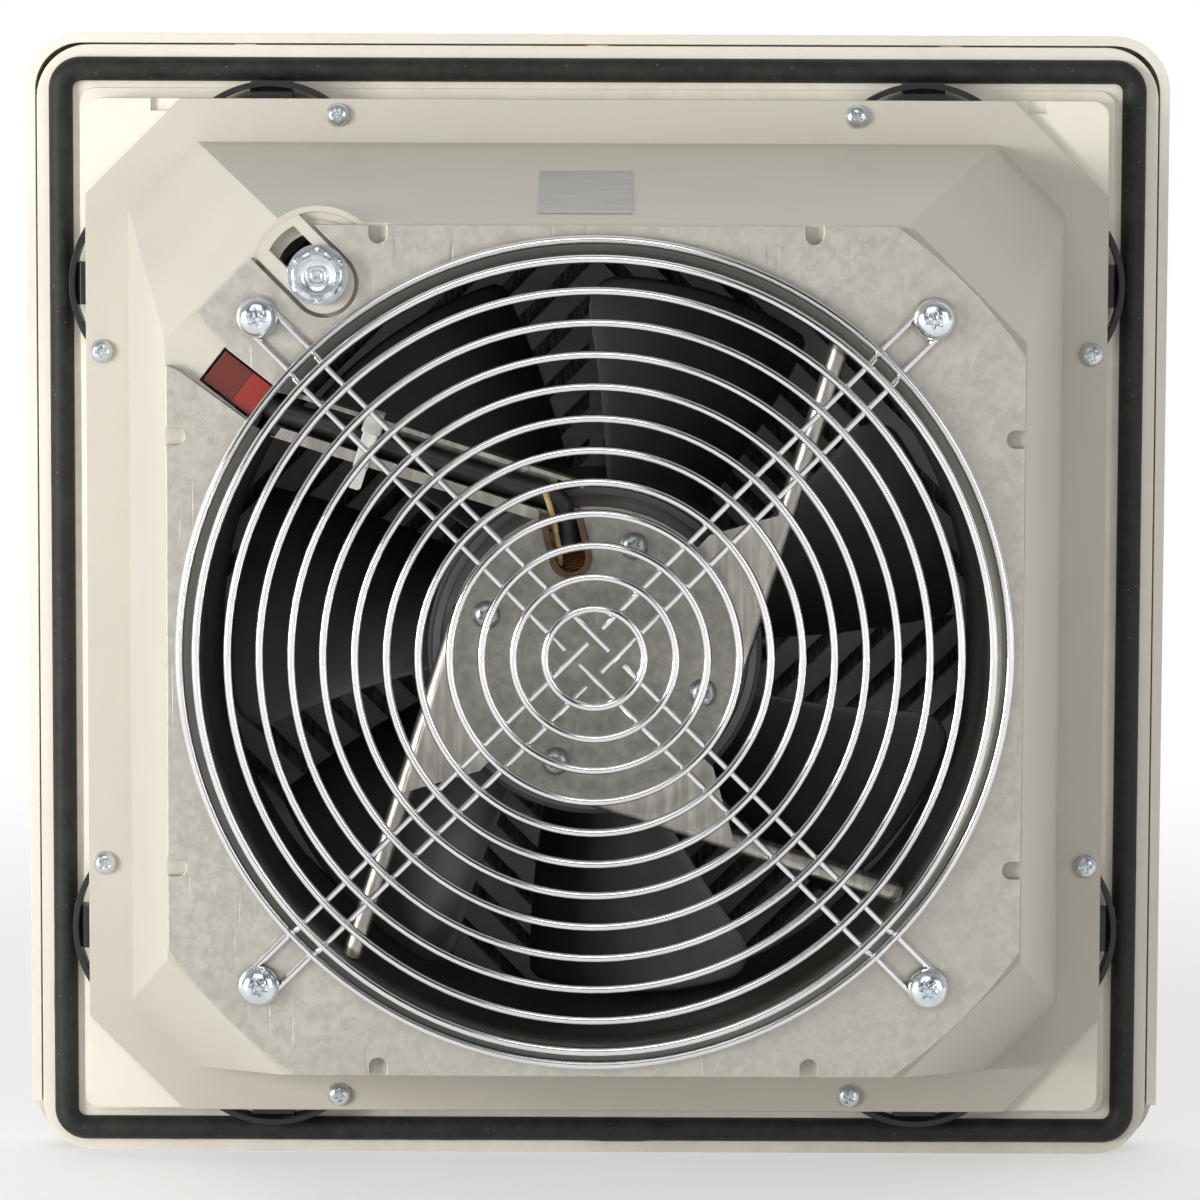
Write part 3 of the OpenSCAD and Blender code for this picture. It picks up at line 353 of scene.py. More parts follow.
def cast_aluminium(colours):
    """The fan casting: a tumbled, mottled plate, a duller motor disc, drawn-looking arms, a duct wall painted dark as
    shade and painted shade in its corners.
    """
    f = Finish("cast_aluminium_finish", Metallic=1.0)
    rounded = f.soft_edge(0.0005)
    x, _, z = f.axes()
    radius = (x * x + z * z) ** 0.5
    on_disc = radius.ease(*DISC_RIM, 1.0, 0.0)
    on_arm = radius.ease(*ARM_START) * radius.ease(*ARM_END, 1.0, 0.0)
    duct_wall_shade = radius.ease(*WALL_INSIDE) * radius.ease(*WALL_OUTSIDE, 1.0, 0.0)
    mottle = f.noise(0.0032, 4.0, 0.66, 0.6)
    fine = f.noise(0.0009, 3.0, 0.65, 0.4)
    cloud = f.noise(0.034, 2.0, 0.5)
    plate = f.vary(mottle, colours.casting, 0.83, 0.99, 0.34, 0.66)
    plate = f.mix(cloud.ease(0.3, 0.7) * 0.4, plate, shade(colours.casting, 0.86))
    plate = f.mix(fine.ease(0.58, 0.74) * 0.25, plate, shade(colours.casting, 1.12))
    # the duct wall is painted dark, from the disc colour, as the shade inside the duct
    plate = f.mix(duct_wall_shade, plate, shade(colours.disc, 0.5))
    dull = f.vary(mottle, colours.disc, 0.84, 1.1, 0.34, 0.66)
    arm = f.vary(f.noise(0.002, 2.0, 0.5, at=f.moved((1, 0.15, 0.15))), colours.casting, 0.62, 0.95)
    tone = f.mix(on_arm, f.mix(on_disc, plate, dull), arm)
    tone = f.mix(f.edge(rounded) * 0.55, tone, (0.86, 0.84, 0.80))
    # corners darkened by ambient occlusion: painted shade
    tone = f.mix(f.corner_shade(0.006) * 0.4, tone, (0.16, 0.15, 0.13))
    scratch = f.noise(0.0012, 1.0, 0.5, at=f.moved((1, 1, 0.05), (0, 0.6, 0))).ease(0.69, 0.74)
    rough = mottle * 0.20 + fine * 0.12 + (0.32 - on_arm * 0.10) - scratch * 0.12
    height = mottle * 0.5 + fine * 0.6 - scratch * 0.5
    return f.set(Base_Color=tone, Roughness=rough, Normal=f.bump(height, 0.00007, 0.7, rounded))


def bright_metal(name, base, rough, streak=(1, 1, 1), grain=0.0012, depth=0.000012):
    """Bright or machined metal; streak stretches its fine lines along an axis."""
    f = Finish(name, Metallic=1.0)
    rounded = f.soft_edge(0.0002)
    lines = f.noise(grain, 3.0, 0.6, at=f.moved(streak))
    cloud = f.noise(0.02, 3.0, 0.6)
    tone = f.mix(cloud.ease(0.3, 0.75) * 0.5, base, shade(base, 0.82))
    tone = f.mix(f.noise(0.003, 3.0, 0.7).ease(0.66, 0.78) * 0.35, tone, shade(base, 0.55))
    return f.set(Base_Color=tone, Roughness=lines * 0.05 + cloud * 0.06 + (rough - 0.04),
                 Normal=f.bump(lines, depth, 0.4, rounded))


def foam_seal(colours):
    """Foamed seal: a matt skin with pinholes and faint pale specks."""
    f = Finish("foam_seal_finish", Specular_IOR_Level=0.35)
    pores = f.cells(0.0006)
    cloud = f.noise(0.006, 3.0, 0.6)
    specks = f.cells(0.0021).ease(0.10, 0.16, 1.0, 0.0) * f.noise(0.004).ease(0.5, 0.6)
    tone = f.vary(cloud, colours.seal, 0.7, 1.5)
    tone = f.mix(specks * 0.55, tone, (0.16, 0.17, 0.14))
    # the pinholes are painted darker, as the shade inside them
    tone = f.mix(pores.ease(0.0, 0.22, 0.5, 0.0), tone, shade(colours.seal, 0.35))
    return f.set(Base_Color=tone, Roughness=cloud * 0.2 + 0.52,
                 Normal=f.bump(pores.ease(0.0, 0.35) + cloud * 0.6, 0.00010, 0.8))


def fibre_fleece(colours):
    """Bonded fibre fleece: crossing strands over gaps painted darker as the shade of the depths."""
    f = Finish("fibre_fleece_finish", Roughness=0.9, Specular_IOR_Level=0.15, Sheen_Weight=0.25)
    strands = None
    for turn in (0.2, 1.1, 2.3):
        one = f.noise(0.0011, 2.0, 0.6, 0.5, at=f.moved((1, 1, 0.16), (0.3, turn, 0.1)))
        strands = one if strands is None else strands.larger(one)
    tufts = f.noise(0.009, 4.0, 0.65, 0.6)
    # fibre tone varies, and the gaps between the strands are painted darker as shade
    tone = f.vary(strands, colours.mat, 0.45, 1.9, 0.45, 0.75)
    tone = f.mix(tufts.ease(0.35, 0.7) * 0.5, tone, shade(colours.mat, 0.7))
    return f.set(Base_Color=tone, Normal=f.bump(strands * 0.7 + tufts, 0.0006, 0.9))


def grid_plastic(colours):
    f = Finish("grid_plastic_finish", Specular_IOR_Level=0.4)
    rounded = f.soft_edge(0.0004)
    settled = f.noise(0.016, 4.0, 0.6).ease(0.35, 0.75)
    tone = f.mix(settled * 0.5, colours.grid, shade(colours.grid, 0.72))
    tone = f.mix(f.edge(rounded) * 0.4, tone, shade(colours.grid, 1.25))
    return f.set(Base_Color=tone, Roughness=settled * 0.2 + 0.45,
                 Normal=f.bump(f.noise(0.0006, 2.0, 0.6), 0.00004, 0.5, rounded))


def label_foil(colours):
    """Bare brushed foil with a fine satin line along its width."""
    f = Finish("label_foil_finish", Metallic=0.75)
    brushed = f.noise(0.0009, 2.0, 0.6, at=f.moved((0.04, 1, 1)))
    haze = f.noise(0.01, 3.0, 0.6)
    tone = f.vary(brushed, colours.label, 0.88, 1.12)
    tone = f.mix(haze.ease(0.45, 0.8) * 0.3, tone, shade(colours.label, 0.8))
    return f.set(Base_Color=tone, Roughness=haze * 0.15 + brushed * 0.08 + 0.34, Normal=f.bump(brushed, 0.00001, 0.4))


def plug_plastic(colours):
    """The connector's two halves, red and maroon, split across its length."""
    f = Finish("plug_plastic_finish", Specular_IOR_Level=0.5)
    rounded = f.soft_edge(0.0004)
    x, _, z = f.axes()
    along = (x - PLUG_X) * math.cos(PLUG_TURN) + (z - PLUG_Z) * math.sin(PLUG_TURN)
    dark_half = along.ease(PLUG_SPLIT - 0.0002, PLUG_SPLIT + 0.0002)
    seam = abs(along - PLUG_SPLIT).ease(0.0, 0.00028, 1.0, 0.0)
    haze = f.noise(0.004, 3.0, 0.6)
    tone = f.mix(dark_half, colours.plug_dark, colours.plug_bright)
    tone = f.mix(haze.ease(0.3, 0.75) * 0.3, tone, f.mix(1.0, tone, (0.75, 0.7, 0.7), "MULTIPLY"))
    tone = f.mix(f.edge(rounded) * 0.3, tone, (0.52, 0.16, 0.12))
    tone = f.mix(seam, tone, (0.02, 0.006, 0.005))
    return f.set(Base_Color=tone, Roughness=haze * 0.15 + 0.28,
                 Normal=f.bump(f.noise(0.0004, 2.0) * 0.4 - seam, 0.00008, 0.7, rounded))


def sleeve_vinyl(colours):
    """Black flexible sleeve, wrinkled a little along its length."""
    f = Finish("sleeve_vinyl_finish", Specular_IOR_Level=0.5, Coat_Weight=0.15, Coat_Roughness=0.3)
    wrinkle = f.noise(0.0024, 3.0, 0.6, 0.6, at=f.moved((0.35, 1, 1), (0, -0.35, 0)))
    haze = f.noise(0.007, 3.0, 0.6)
    tone = f.vary(haze, colours.sleeve, 0.75, 2.2, 0.3, 0.75)
    return f.set(Base_Color=tone, Roughness=haze * 0.2 + wrinkle * 0.08 + 0.30, Normal=f.bump(wrinkle, 0.00022, 0.7))


def lead_sheath(colours):
    f = Finish("lead_sheath_finish", Specular_IOR_Level=0.5, Coat_Weight=0.3, Coat_Roughness=0.2)
    haze = f.noise(0.002, 3.0, 0.6)
    tone = f.vary(haze, colours.lead, 0.75, 1.25)
    return f.set(Base_Color=tone, Roughness=haze * 0.15 + 0.25, Normal=f.bump(haze, 0.00004, 0.5))


def soft_rubber(name, base, rough=0.55):
    f = Finish(name, Specular_IOR_Level=0.4)
    haze = f.noise(0.003, 3.0, 0.6)
    tone = f.vary(haze, base, 0.75, 1.2)
    return f.set(Base_Color=tone, Roughness=haze * 0.2 + (rough - 0.1),
                 Normal=f.bump(f.noise(0.0007, 3.0), 0.00006, 0.6, f.soft_edge(0.0003)))


def nylon(colours):
    f = Finish("tie_nylon_finish", Specular_IOR_Level=0.5, Subsurface_Weight=0.15, Subsurface_Scale=0.0006)
    haze = f.noise(0.003, 3.0, 0.6)
    tone = f.vary(haze, colours.tie, 0.92, 1.05)
    return f.set(Base_Color=tone, Roughness=haze * 0.15 + 0.32, Normal=f.bump(haze, 0.00003, 0.5, f.soft_edge(0.0003)))


def wound_enamel():
    """Enamelled copper wire, turn beside turn round the stack."""
    f = Finish("wound_enamel_finish", Metallic=0.7)
    x, y, z = f.axes()
    radius = (x * x + z * z) ** 0.5
    turns = (radius * 9000 + y * 2500).sine() * 0.5 + 0.5
    haze = f.noise(0.004, 3.0, 0.6)
    # the gaps between the turns are painted darker as shade
    tone = f.mix(turns.ease(0.1, 0.6), (0.14, 0.045, 0.015), (0.62, 0.26, 0.10))
    tone = f.mix(haze.ease(0.4, 0.8) * 0.4, tone, (0.35, 0.14, 0.05))
    return f.set(Base_Color=tone, Roughness=haze * 0.2 + 0.25, Normal=f.bump(turns, 0.00025, 0.8))


def laminated_steel():
    """Stacked motor sheets: fine lines across the stack."""
    f = Finish("laminated_steel_finish", Metallic=0.9)
    _, y, _ = f.axes()
    sheets = (y * 12566).sine() * 0.5 + 0.5  # one sheet in 0.5 mm
    haze = f.noise(0.006, 3.0, 0.6)
    tone = f.mix(sheets.ease(0.0, 0.35), (0.05, 0.048, 0.045), (0.30, 0.29, 0.28))
    tone = f.mix(haze.ease(0.55, 0.8) * 0.4, tone, (0.22, 0.12, 0.06))
    return f.set(Base_Color=tone, Roughness=haze * 0.2 + 0.38, Normal=f.bump(sheets, 0.00012, 0.6))


# ---------------------------------------------------------------- mesh helpers


def add_object(name, data):
    made = bpy.data.objects.new(name, data)
    bpy.context.scene.collection.objects.link(made)
    return made


def new_piece(name, body, finish, shape, replaces=(), sharp=38):
    """A mesh piece from a shape in millimetres, shaded smooth but for its sharp edges, riding on a body."""
    mesh = bpy.data.meshes.new(name)
    mesh.from_pydata([tuple(c * MM for c in p) for p in shape.points], [], shape.faces)
    mesh.validate()
    mesh.shade_smooth()
    mesh.set_sharp_from_angle(angle=math.radians(sharp))
    mesh.update()
    piece = add_object(name, mesh)
    piece.data.materials.append(finish.material)
    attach(piece, body)
    if replaces:
        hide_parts(*replaces)
    return piece


def paint(nodes, finish):
    """Gives CAD nodes that finish."""
    for name in nodes:
        data = frame["nodes"][name].data
        data.materials.clear()
        data.materials.append(finish.material)
        data.shade_smooth()
        data.set_sharp_from_angle(angle=math.radians(35))


def angles(count):
    return [2 * math.pi * k / count for k in range(count)]


def ring_about(x, z, sides, profile):
    """Points round a line along Y; profile gives the radius and the y at an angle."""
    around = ((a, *profile(a)) for a in angles(sides))
    return [(x + r * math.cos(a), y, z + r * math.sin(a)) for a, r, y in around]


class Shape:
    """Points and faces gathered for one mesh."""

    def __init__(self):
        self.points, self.faces = [], []

    def add(self, points, faces):
        base = len(self.points)
        self.points += [tuple(p) for p in points]
        self.faces += [[base + i for i in face] for face in faces]

    def rings(self, rings, closed=False):
        """Skins equal rings of points; closed joins the last ring to the first, else both ends get a cap."""
        n, count = len(rings[0]), len(rings)
        faces = []
        for i in range(count if closed else count - 1):
            a, b = i * n, ((i + 1) % count) * n
            faces += [[a + k, a + (k + 1) % n, b + (k + 1) % n, b + k] for k in range(n)]
        if not closed:
            faces += [list(range(n - 1, -1, -1)), list(range((count - 1) * n, count * n))]
        self.add([p for ring in rings for p in ring], faces)

    def turned(self, profile, sides):
        """Revolves a closed profile of (radius, y) about the Y axis."""
        self.rings([ring_about(0, 0, sides, lambda a: (r, y)) for r, y in profile], closed=True)


def smooth_line(points, steps=14):
    """A smooth curve through the points."""
    pts = [Vector(p) for p in points]
    pts = [2 * pts[0] - pts[1]] + pts + [2 * pts[-1] - pts[-2]]
    line = []
    for i in range(1, len(pts) - 2):
        a, b, c, d = pts[i - 1:i + 3]
        for k in range(steps):
            t = k / steps
            line.append(0.5 * (2 * b + (c - a) * t + (2 * a - 5 * b + 4 * c - d) * t * t
                               + (3 * b - a - 3 * c + d) * t ** 3))
    return line + [pts[-2]]


def tube_rings(line, radius, sides):
    """Rings of points along a line that nowhere runs along Y."""
    rings = []
    last = len(line) - 1
    for i, p in enumerate(line):
        ahead = (line[min(i + 1, last)] - line[max(i - 1, 0)]).normalized()
        side = ahead.cross(Vector((0, 1, 0))).normalized()
        over = side.cross(ahead)
        rings.append([p + radius * (math.cos(a) * side + math.sin(a) * over) for a in angles(sides)])
    return rings


def star(a, reach):
    """Outline of a recess with six lobes."""
    return reach * (0.80 + 0.20 * math.cos(6 * a))


def cross(a, reach):
    """Outline of a cross recess with short ticks between its arms."""
    off = (a + math.pi / 4) % (math.pi / 2) - math.pi / 4
    arm = min(reach, 0.30 * reach / max(abs(math.sin(off)), 1e-3))
    tick = (a % (math.pi / 2)) - math.pi / 4
    return max(arm, 0.56 * reach if abs(tick) < 0.14 else 0)


def pan_screw(shape, x, z, turn, seat, head_r, head_t, outline, reach, shank_r, tip, depth, thread=1.0):
    """A domed head on a threaded shank; outline draws the recess and the head points to -Y."""

    def dome(r, sink=0):
        return r, (seat - head_t * (1 - (min(r, head_r) / head_r) ** 3.2) ** 0.62 if r < head_r else seat) + sink

    def recess(a, share):
        return share * outline(a - turn, reach)

    def slope(a, share):
        inner = recess(a, 1.05)
        return dome(inner + (head_r - inner) * (1 - (1 - share) ** 1.7))

    top = dome(0)[1]
    profiles = [lambda a, share=share, low=low: (recess(a, share), top + depth * low)
                for share, low in ((0.04, 0.86), (0.45, 0.92), (0.80, 1.0), (0.90, 0.9))]
    profiles += [lambda a: dome(recess(a, 1.0), 0.06), lambda a: dome(recess(a, 1.05))]
    profiles += [lambda a, k=k: slope(a, k / 12) for k in range(1, 13)]
    ridges = [(shank_r - (0.28 * thread if k % 2 else 0), seat + 0.5 + k * 0.4 * thread)
              for k in range(int((tip - seat - 1.2) / (0.4 * thread)))]
    profiles += [lambda a, end=end: end for end in [(shank_r, seat), *ridges, (0.55 * shank_r, tip)]]
    shape.rings([ring_about(x, z, 96, profile) for profile in profiles])


# ---------------------------------------------------------------- operators


class FAN_OT_studio(bpy.types.Operator):
    """Make the camera, the pale floor and the soft light"""

    bl_idname = "filter_fan.studio"
    bl_label = "Studio"

    def execute(self, context):
        s = context.scene.fan_studio
        context.scene.view_settings.view_transform = "Standard"
        e, yaw = s.elevation, CAMERA_YAW
        back = Vector((math.sin(yaw) * math.cos(e), -math.cos(yaw) * math.cos(e), math.sin(e)))
        right = (-back).cross(Vector((0, 0, 1))).normalized()
        up = right.cross(-back)
        side = math.cos(s.roll) * right + math.sin(s.roll) * up
        over = -math.sin(s.roll) * right + math.cos(s.roll) * up
        data = bpy.data.cameras.new("studio_camera")
        data.lens, data.sensor_width = s.lens, 36
        camera = add_object("studio_camera", data)
        spot = CAMERA_TARGET * MM + back * s.distance
        camera.matrix_world = Matrix.Translation(spot) @ Matrix((side, over, back)).transposed().to_4x4()
        context.scene.camera = camera
        for name, place, size, power, tone in (
                ("key_light", (-1.38, -1.05, 0.14), 0.55, s.key, (1, 0.985, 0.96)),
                ("fill_light", (1.45, -1.55, 0.42), 1.1, s.fill, (1, 1, 1)),
                ("top_light", (-0.2, -1.45, 1.0), 1.0, s.top, (1, 1, 1))):
            lamp = bpy.data.lights.new(name, "AREA")
            lamp.shape, lamp.size, lamp.energy, lamp.color = "SQUARE", size, power, tone
            light = add_object(name, lamp)
            light.location = place
            light.rotation_euler = (-Vector(place)).to_track_quat("-Z", "Y").to_euler()
        self.world(context.scene, s)
        self.floor()
        return {"FINISHED"}

    def world(self, scene, s):
        world = bpy.data.worlds.new("studio_room")
        scene.world = world
        world.use_nodes = True
        tree = world.node_tree
        tree.nodes.clear()
        kit = Finish.__new__(Finish)
        kit.tree = tree
        way = kit.node("ShaderNodeTexCoord").part("Generated")
        split = kit.node("ShaderNodeSeparateXYZ", {}, {0: way})
        ahead = split.part("Y")
        behind_camera = ahead.ease(-0.72, -0.30, 1.0, 0.0)
        level = ahead.ease(-0.1, 0.45, s.sky, 1.0) * (1 - behind_camera * 0.92)
        seen = kit.node("ShaderNodeLightPath").part("Is Camera Ray")
        glow = seen.larger(level)
        room = kit.node("ShaderNodeBackground", {}, {"Color": (1, 1, 1, 1), "Strength": glow})
        out = tree.nodes.new("ShaderNodeOutputWorld")
        tree.links.new(room.socket, out.inputs[0])

    def floor(self):
        low, reach, sides = CAD_BOX[0][2], 9, 64
        mesh = bpy.data.meshes.new("studio_floor")
        mesh.from_pydata([(reach * math.cos(a), reach * math.sin(a), low) for a in angles(sides)], [],
                         [list(range(sides))])
        floor = add_object("studio_floor", mesh)
        f = Finish("floor_paper_finish", Base_Color=(0.86, 0.86, 0.86), Roughness=0.7)
        x, y, _ = f.axes()
        far = ((x * x + y * y) ** 0.5).ease(0.25, 0.9)
        path = f.node("ShaderNodeLightPath")
        camera, glossy, clear = (path.part(f"Is {kind} Ray") for kind in ("Camera", "Glossy", "Transmission"))
        straight = camera.larger(glossy).larger(clear)
        white = f.node("ShaderNodeEmission", {}, {"Color": (1, 1, 1, 1), "Strength": 1.0})
        paper = Wire(f, f.shader.outputs[0])
        mixed = f.node("ShaderNodeMixShader", {}, {0: straight * (far * 0.5 + 0.5), 1: paper, 2: white})
        f.tree.links.new(mixed.socket, f.output.inputs[0])
        floor.data.materials.append(f.material)


class FAN_OT_cable(bpy.types.Operator):
    """Lay the sleeved motor cable and the thin lead beside it"""

    bl_idname = "filter_fan.cable"
    bl_label = "Cable"

    def execute(self, context):
        sizes, colours = context.scene.fan_sizes, context.scene.fan_colours
        across, line = sizes.cable_d, smooth_line(CABLE_ROUTE)
        piece = self.lay("motor_cable_sleeve", "cable_sleeve", line, across, sleeve_vinyl(colours), 40, "motor_cable")
        path = [tuple(p * MM) for p in line]
        long = sum((b - a).length for a, b in zip(line, line[1:])) * MM
        self.lay("motor_lead_sheath", "lead_amber", smooth_line(LEAD_ROUTE), sizes.lead_d, lead_sheath(colours), 24,
                 "motor_lead")
        return {"FINISHED"}

    def lay(self, name, slot, line, across, finish, sides, node):
        """A tube along the line, in place of that node."""
        shape = Shape()
        shape.rings(tube_rings(line, across / MM / 2, sides))
        return new_piece(name, "frame", finish, shape, [node])


class FAN_OT_seal(bpy.types.Operator):
    """Pour the sealing bead behind the flange"""

    bl_idname = "filter_fan.seal"
    bl_label = "Sealing bead"

    def execute(self, context):
        sizes, colours = context.scene.fan_sizes, context.scene.fan_colours
        _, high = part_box("flange_gasket")
        half, foot, corner = 3.4, 0.6, 5.75
        straight_steps, corner_steps, seam_step = 110, 14, 300
        mid = high.x / MM - half
        run = mid - corner
        wander = random.Random(4)
        waves = [(beats, wander.uniform(0, 6.28)) for beats in (9, 17, 31, 53, 97, 141)]
        path = []
        for side in range(4):
            turn = side * math.pi / 2
            for k in range(straight_steps):
                path.append((-run + 2 * run * k / straight_steps, mid, turn, math.pi / 2))
            for k in range(corner_steps):
                a = math.pi / 2 - (math.pi / 2) * k / corner_steps
                path.append((run + corner * math.cos(a), run + corner * math.sin(a), turn, a))
        rings = []
        for i, ((u, v, turn, a), s) in enumerate(zip(path, angles(len(path)))):
            swell = sum(math.sin(beats * s + phase) / (1 + 0.2 * j) for j, (beats, phase) in enumerate(waves))
            seam = math.exp(-((i - seam_step) / 3.0) ** 2) * 0.25
            grow = 1 + (swell * sizes.bead_unevenness / MM / 3 - 0.10) / half + seam / half
            out_u, out_v = math.cos(a), math.sin(a)
            ring = [(-half, 0), (-half, -foot)] + \
                   [(-half * grow * math.cos(b), -foot - (half * min(grow, 1.0)) * math.sin(b))
                    for b in (math.pi * k / 16 for k in range(1, 16))] + [(half, -foot), (half, 0)]
            cos, sin = math.cos(-turn), math.sin(-turn)
            spots = [(u + across * out_u, v + across * out_v, y) for across, y in ring]
            rings.append([(px * cos - pz * sin, y, px * sin + pz * cos) for px, pz, y in spots])
        shape = Shape()
        shape.rings(rings, closed=True)
        new_piece("sealing_bead", "frame", foam_seal(colours), shape, ["flange_gasket"], 70)
        return {"FINISHED"}


class FAN_OT_mat(bpy.types.Operator):
    """Felt the filter mat and its loose fibres"""

    bl_idname = "filter_fan.mat"
    bl_label = "Filter mat"

    def execute(self, context):
        sizes, colours = context.scene.fan_sizes, context.scene.fan_colours
        low, high = (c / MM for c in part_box("filter_mat"))
        half, y0, y1, n = high.x, low.y, high.y, 72
        fluff = sizes.mat_fluff / MM
        drift = random.Random(11)
        waves = [(drift.uniform(0.02, 0.35), drift.uniform(0.02, 0.35), drift.uniform(0, 6.28)) for _ in range(14)]

        def uneven(x, z, sign):
            lift = sum(math.sin(a * x * sign + b * z + c) for a, b, c in waves) / len(waves)
            edge = min(half - abs(x), half - abs(z))
            return fluff * (0.6 - lift) + 2.2 * max(0.0, 1 - edge / 5) ** 2

        shape = Shape()
        size = n + 1
        grid = [-half + 2 * half * k / n for k in range(size)]
        back = [(x, y0 + uneven(x, z, 1) * 0.5, z) for z in grid for x in grid]
        front = [(x, y1 - uneven(x, z, -1), z) for z in grid for x in grid]
        faces = []
        for j in range(n):
            for i in range(n):
                a = j * size + i
                faces.append([a, a + 1, a + size + 1, a + size])
                b = size * size + a
                faces.append([b, b + size, b + size + 1, b + 1])
        rim = [*range(size), *(j * size + n for j in range(1, size)),
               *(n * size + i for i in range(n - 1, -1, -1)), *(j * size for j in range(n - 1, 0, -1))]
        for k, a in enumerate(rim):
            b = rim[(k + 1) % len(rim)]
            faces.append([a, size * size + a, size * size + b, b])
        shape.add(back + front, faces)
        fleece = fibre_fleece(colours)
        mat = new_piece("filter_fleece", "frame", fleece, shape, ["filter_mat"], 75)
        strands = Shape()
        for k in range(sizes.loose_fibres):
            x, z = drift.uniform(-half + 12, half - 12), drift.uniform(-half + 12, half - 12)
            turn, bend, long = drift.uniform(0, 6.28), drift.uniform(-0.9, 0.9), drift.uniform(8, 22)
            y = y1 - 0.35 if k % 3 else y0 + 0.35
            points = []
            for t in range(7):
                points.append(Vector((x, y + 0.15 * math.sin(t * 1.3 + turn), z)))
                x, z, turn = x + long / 6 * math.cos(turn), z + long / 6 * math.sin(turn), turn + bend / 3
            if max(abs(c) for p in points for c in (p.x, p.z)) < half - 3:
                strands.rings(tube_rings(points, 0.075, 4))
        new_piece("fleece_fibres", "frame", fleece, strands)
        return {"FINISHED"}


class FAN_OT_impeller(bpy.types.Operator):
    """Mould the hub and its seven blades"""

    bl_idname = "filter_fan.impeller"
    bl_label = "Impeller"

    def execute(self, context):
        colours = context.scene.fan_colours
        blades, hub_r, tip_r, thick, span, lag = 7, 44.5, 98.5, 2.8, 38.5, 6
        le_y, te_y, bulge, te_corner, le_corner, first = 61, 104, 3, 11, 3, 2.4
        rows, cols = 30, 30
        shape = Shape()

        def trim(r, c):
            return 0 if r < tip_r - c else c - math.sqrt(max(0.0, c * c - (r - tip_r + c) ** 2))

        for blade in range(blades):
            rings = []
            for i in range(rows + 1):
                v = i / rows
                r = hub_r - 0.8 + (tip_r - hub_r + 0.8) * math.sin(math.pi / 2 * v)
                mm = 180 / (math.pi * r)
                lead = first - lag * (tip_r - r) / (tip_r - hub_r)
                a0, a1 = lead + trim(r, le_corner) * mm, lead + span - trim(r, te_corner) * mm
                root = 1 + 0.9 * max(0.0, 1 - (r - hub_r) / 3.5) ** 2
                tip = max(0.0, 1 - max(0.0, (r - tip_r + 1.2) / 1.2) ** 2.4) ** 0.5
                ring = []
                for k in range(2 * cols):
                    w = 0.5 - 0.5 * math.cos(math.pi * k / cols)
                    side = (1 if k < cols else -1) * (1 - abs(2 * w - 1) ** 14) ** 0.5 * (0 if k in (0, cols) else 1)
                    a = a0 + (a1 - a0) * w
                    share = (a - lead) / span
                    y = le_y + (te_y - le_y) * share + bulge * math.sin(math.pi * share)
                    y += side * thick / 2 * min(root, 1.6) * max(tip, 0.12)
                    angle = math.radians(a + 360 * blade / blades)
                    ring.append((r * math.cos(angle), -y, r * math.sin(angle)))
                rings.append(ring)
            shape.rings(rings)
        shape.turned([(43.05, -114), (43.6, -114), (44.3, -113.7), (44.5, -113.1), (44.5, -61.4), (44.1, -60.4),
                      (43.5, -60), (43.05, -60), (43.05, -62.6), (42.2, -63.4), (30, -63.4), (29.4, -63.0),
                      (20.6, -63.0), (20, -63.4), (10.5, -63.4), (9.6, -62.6), (8, -62.6), (8, -64.9), (43.05, -64.9)],
                     144)
        new_piece("impeller_moulding", "rotor",
                  black_plastic("impeller_black_finish", colours.impeller, 0.5, 0.35), shape, ["impeller"], 42)
        return {"FINISHED"}


class FAN_OT_guard(bpy.types.Operator):
    """Plate the wire guard and weld its crossings"""

    bl_idname = "filter_fan.guard"
    bl_label = "Wire guard"

    def execute(self, context):
        sizes, colours = context.scene.fan_sizes, context.scene.fan_colours
        chrome = bright_metal("guard_chrome_finish", colours.chrome, 0.12, grain=0.0009, depth=0.000008)
        paint(("finger_guard",), chrome)
        shape, jitter = Shape(), random.Random(7)
        first, pitch, dome_y, outer, outer_y = 13, 8.29, -137.05, 109, -130.55
        radii = [(first + pitch * k, dome_y) for k in range(12)] + [(outer, outer_y)]
        for leg in range(4):
            angle = math.radians(45 + 90 * leg)
            ax, az = math.cos(angle), math.sin(angle)
            for side in (-4, 4):
                for r, y in radii:
                    along = math.sqrt(r * r - side * side)
                    x, z = along * ax - side * az, along * az + side * ax
                    big = sizes.weld_r / MM * jitter.uniform(0.82, 1.08)
                    rings = []
                    for i in range(9):
                        t = math.pi * i / 8
                        rr, dy = big * max(math.sin(t), 0.05), -0.62 * big * math.cos(t)
                        rings.append([(x + rr * math.cos(b) * (1 + 0.16 * math.cos(2 * b + r)), y + dy,
                                       z + rr * math.sin(b)) for b in (math.pi * k / 7 for k in range(14))])
                    shape.rings(rings)
        new_piece("guard_weld_nuggets", "frame", chrome, shape, sharp=60)
        return {"FINISHED"}


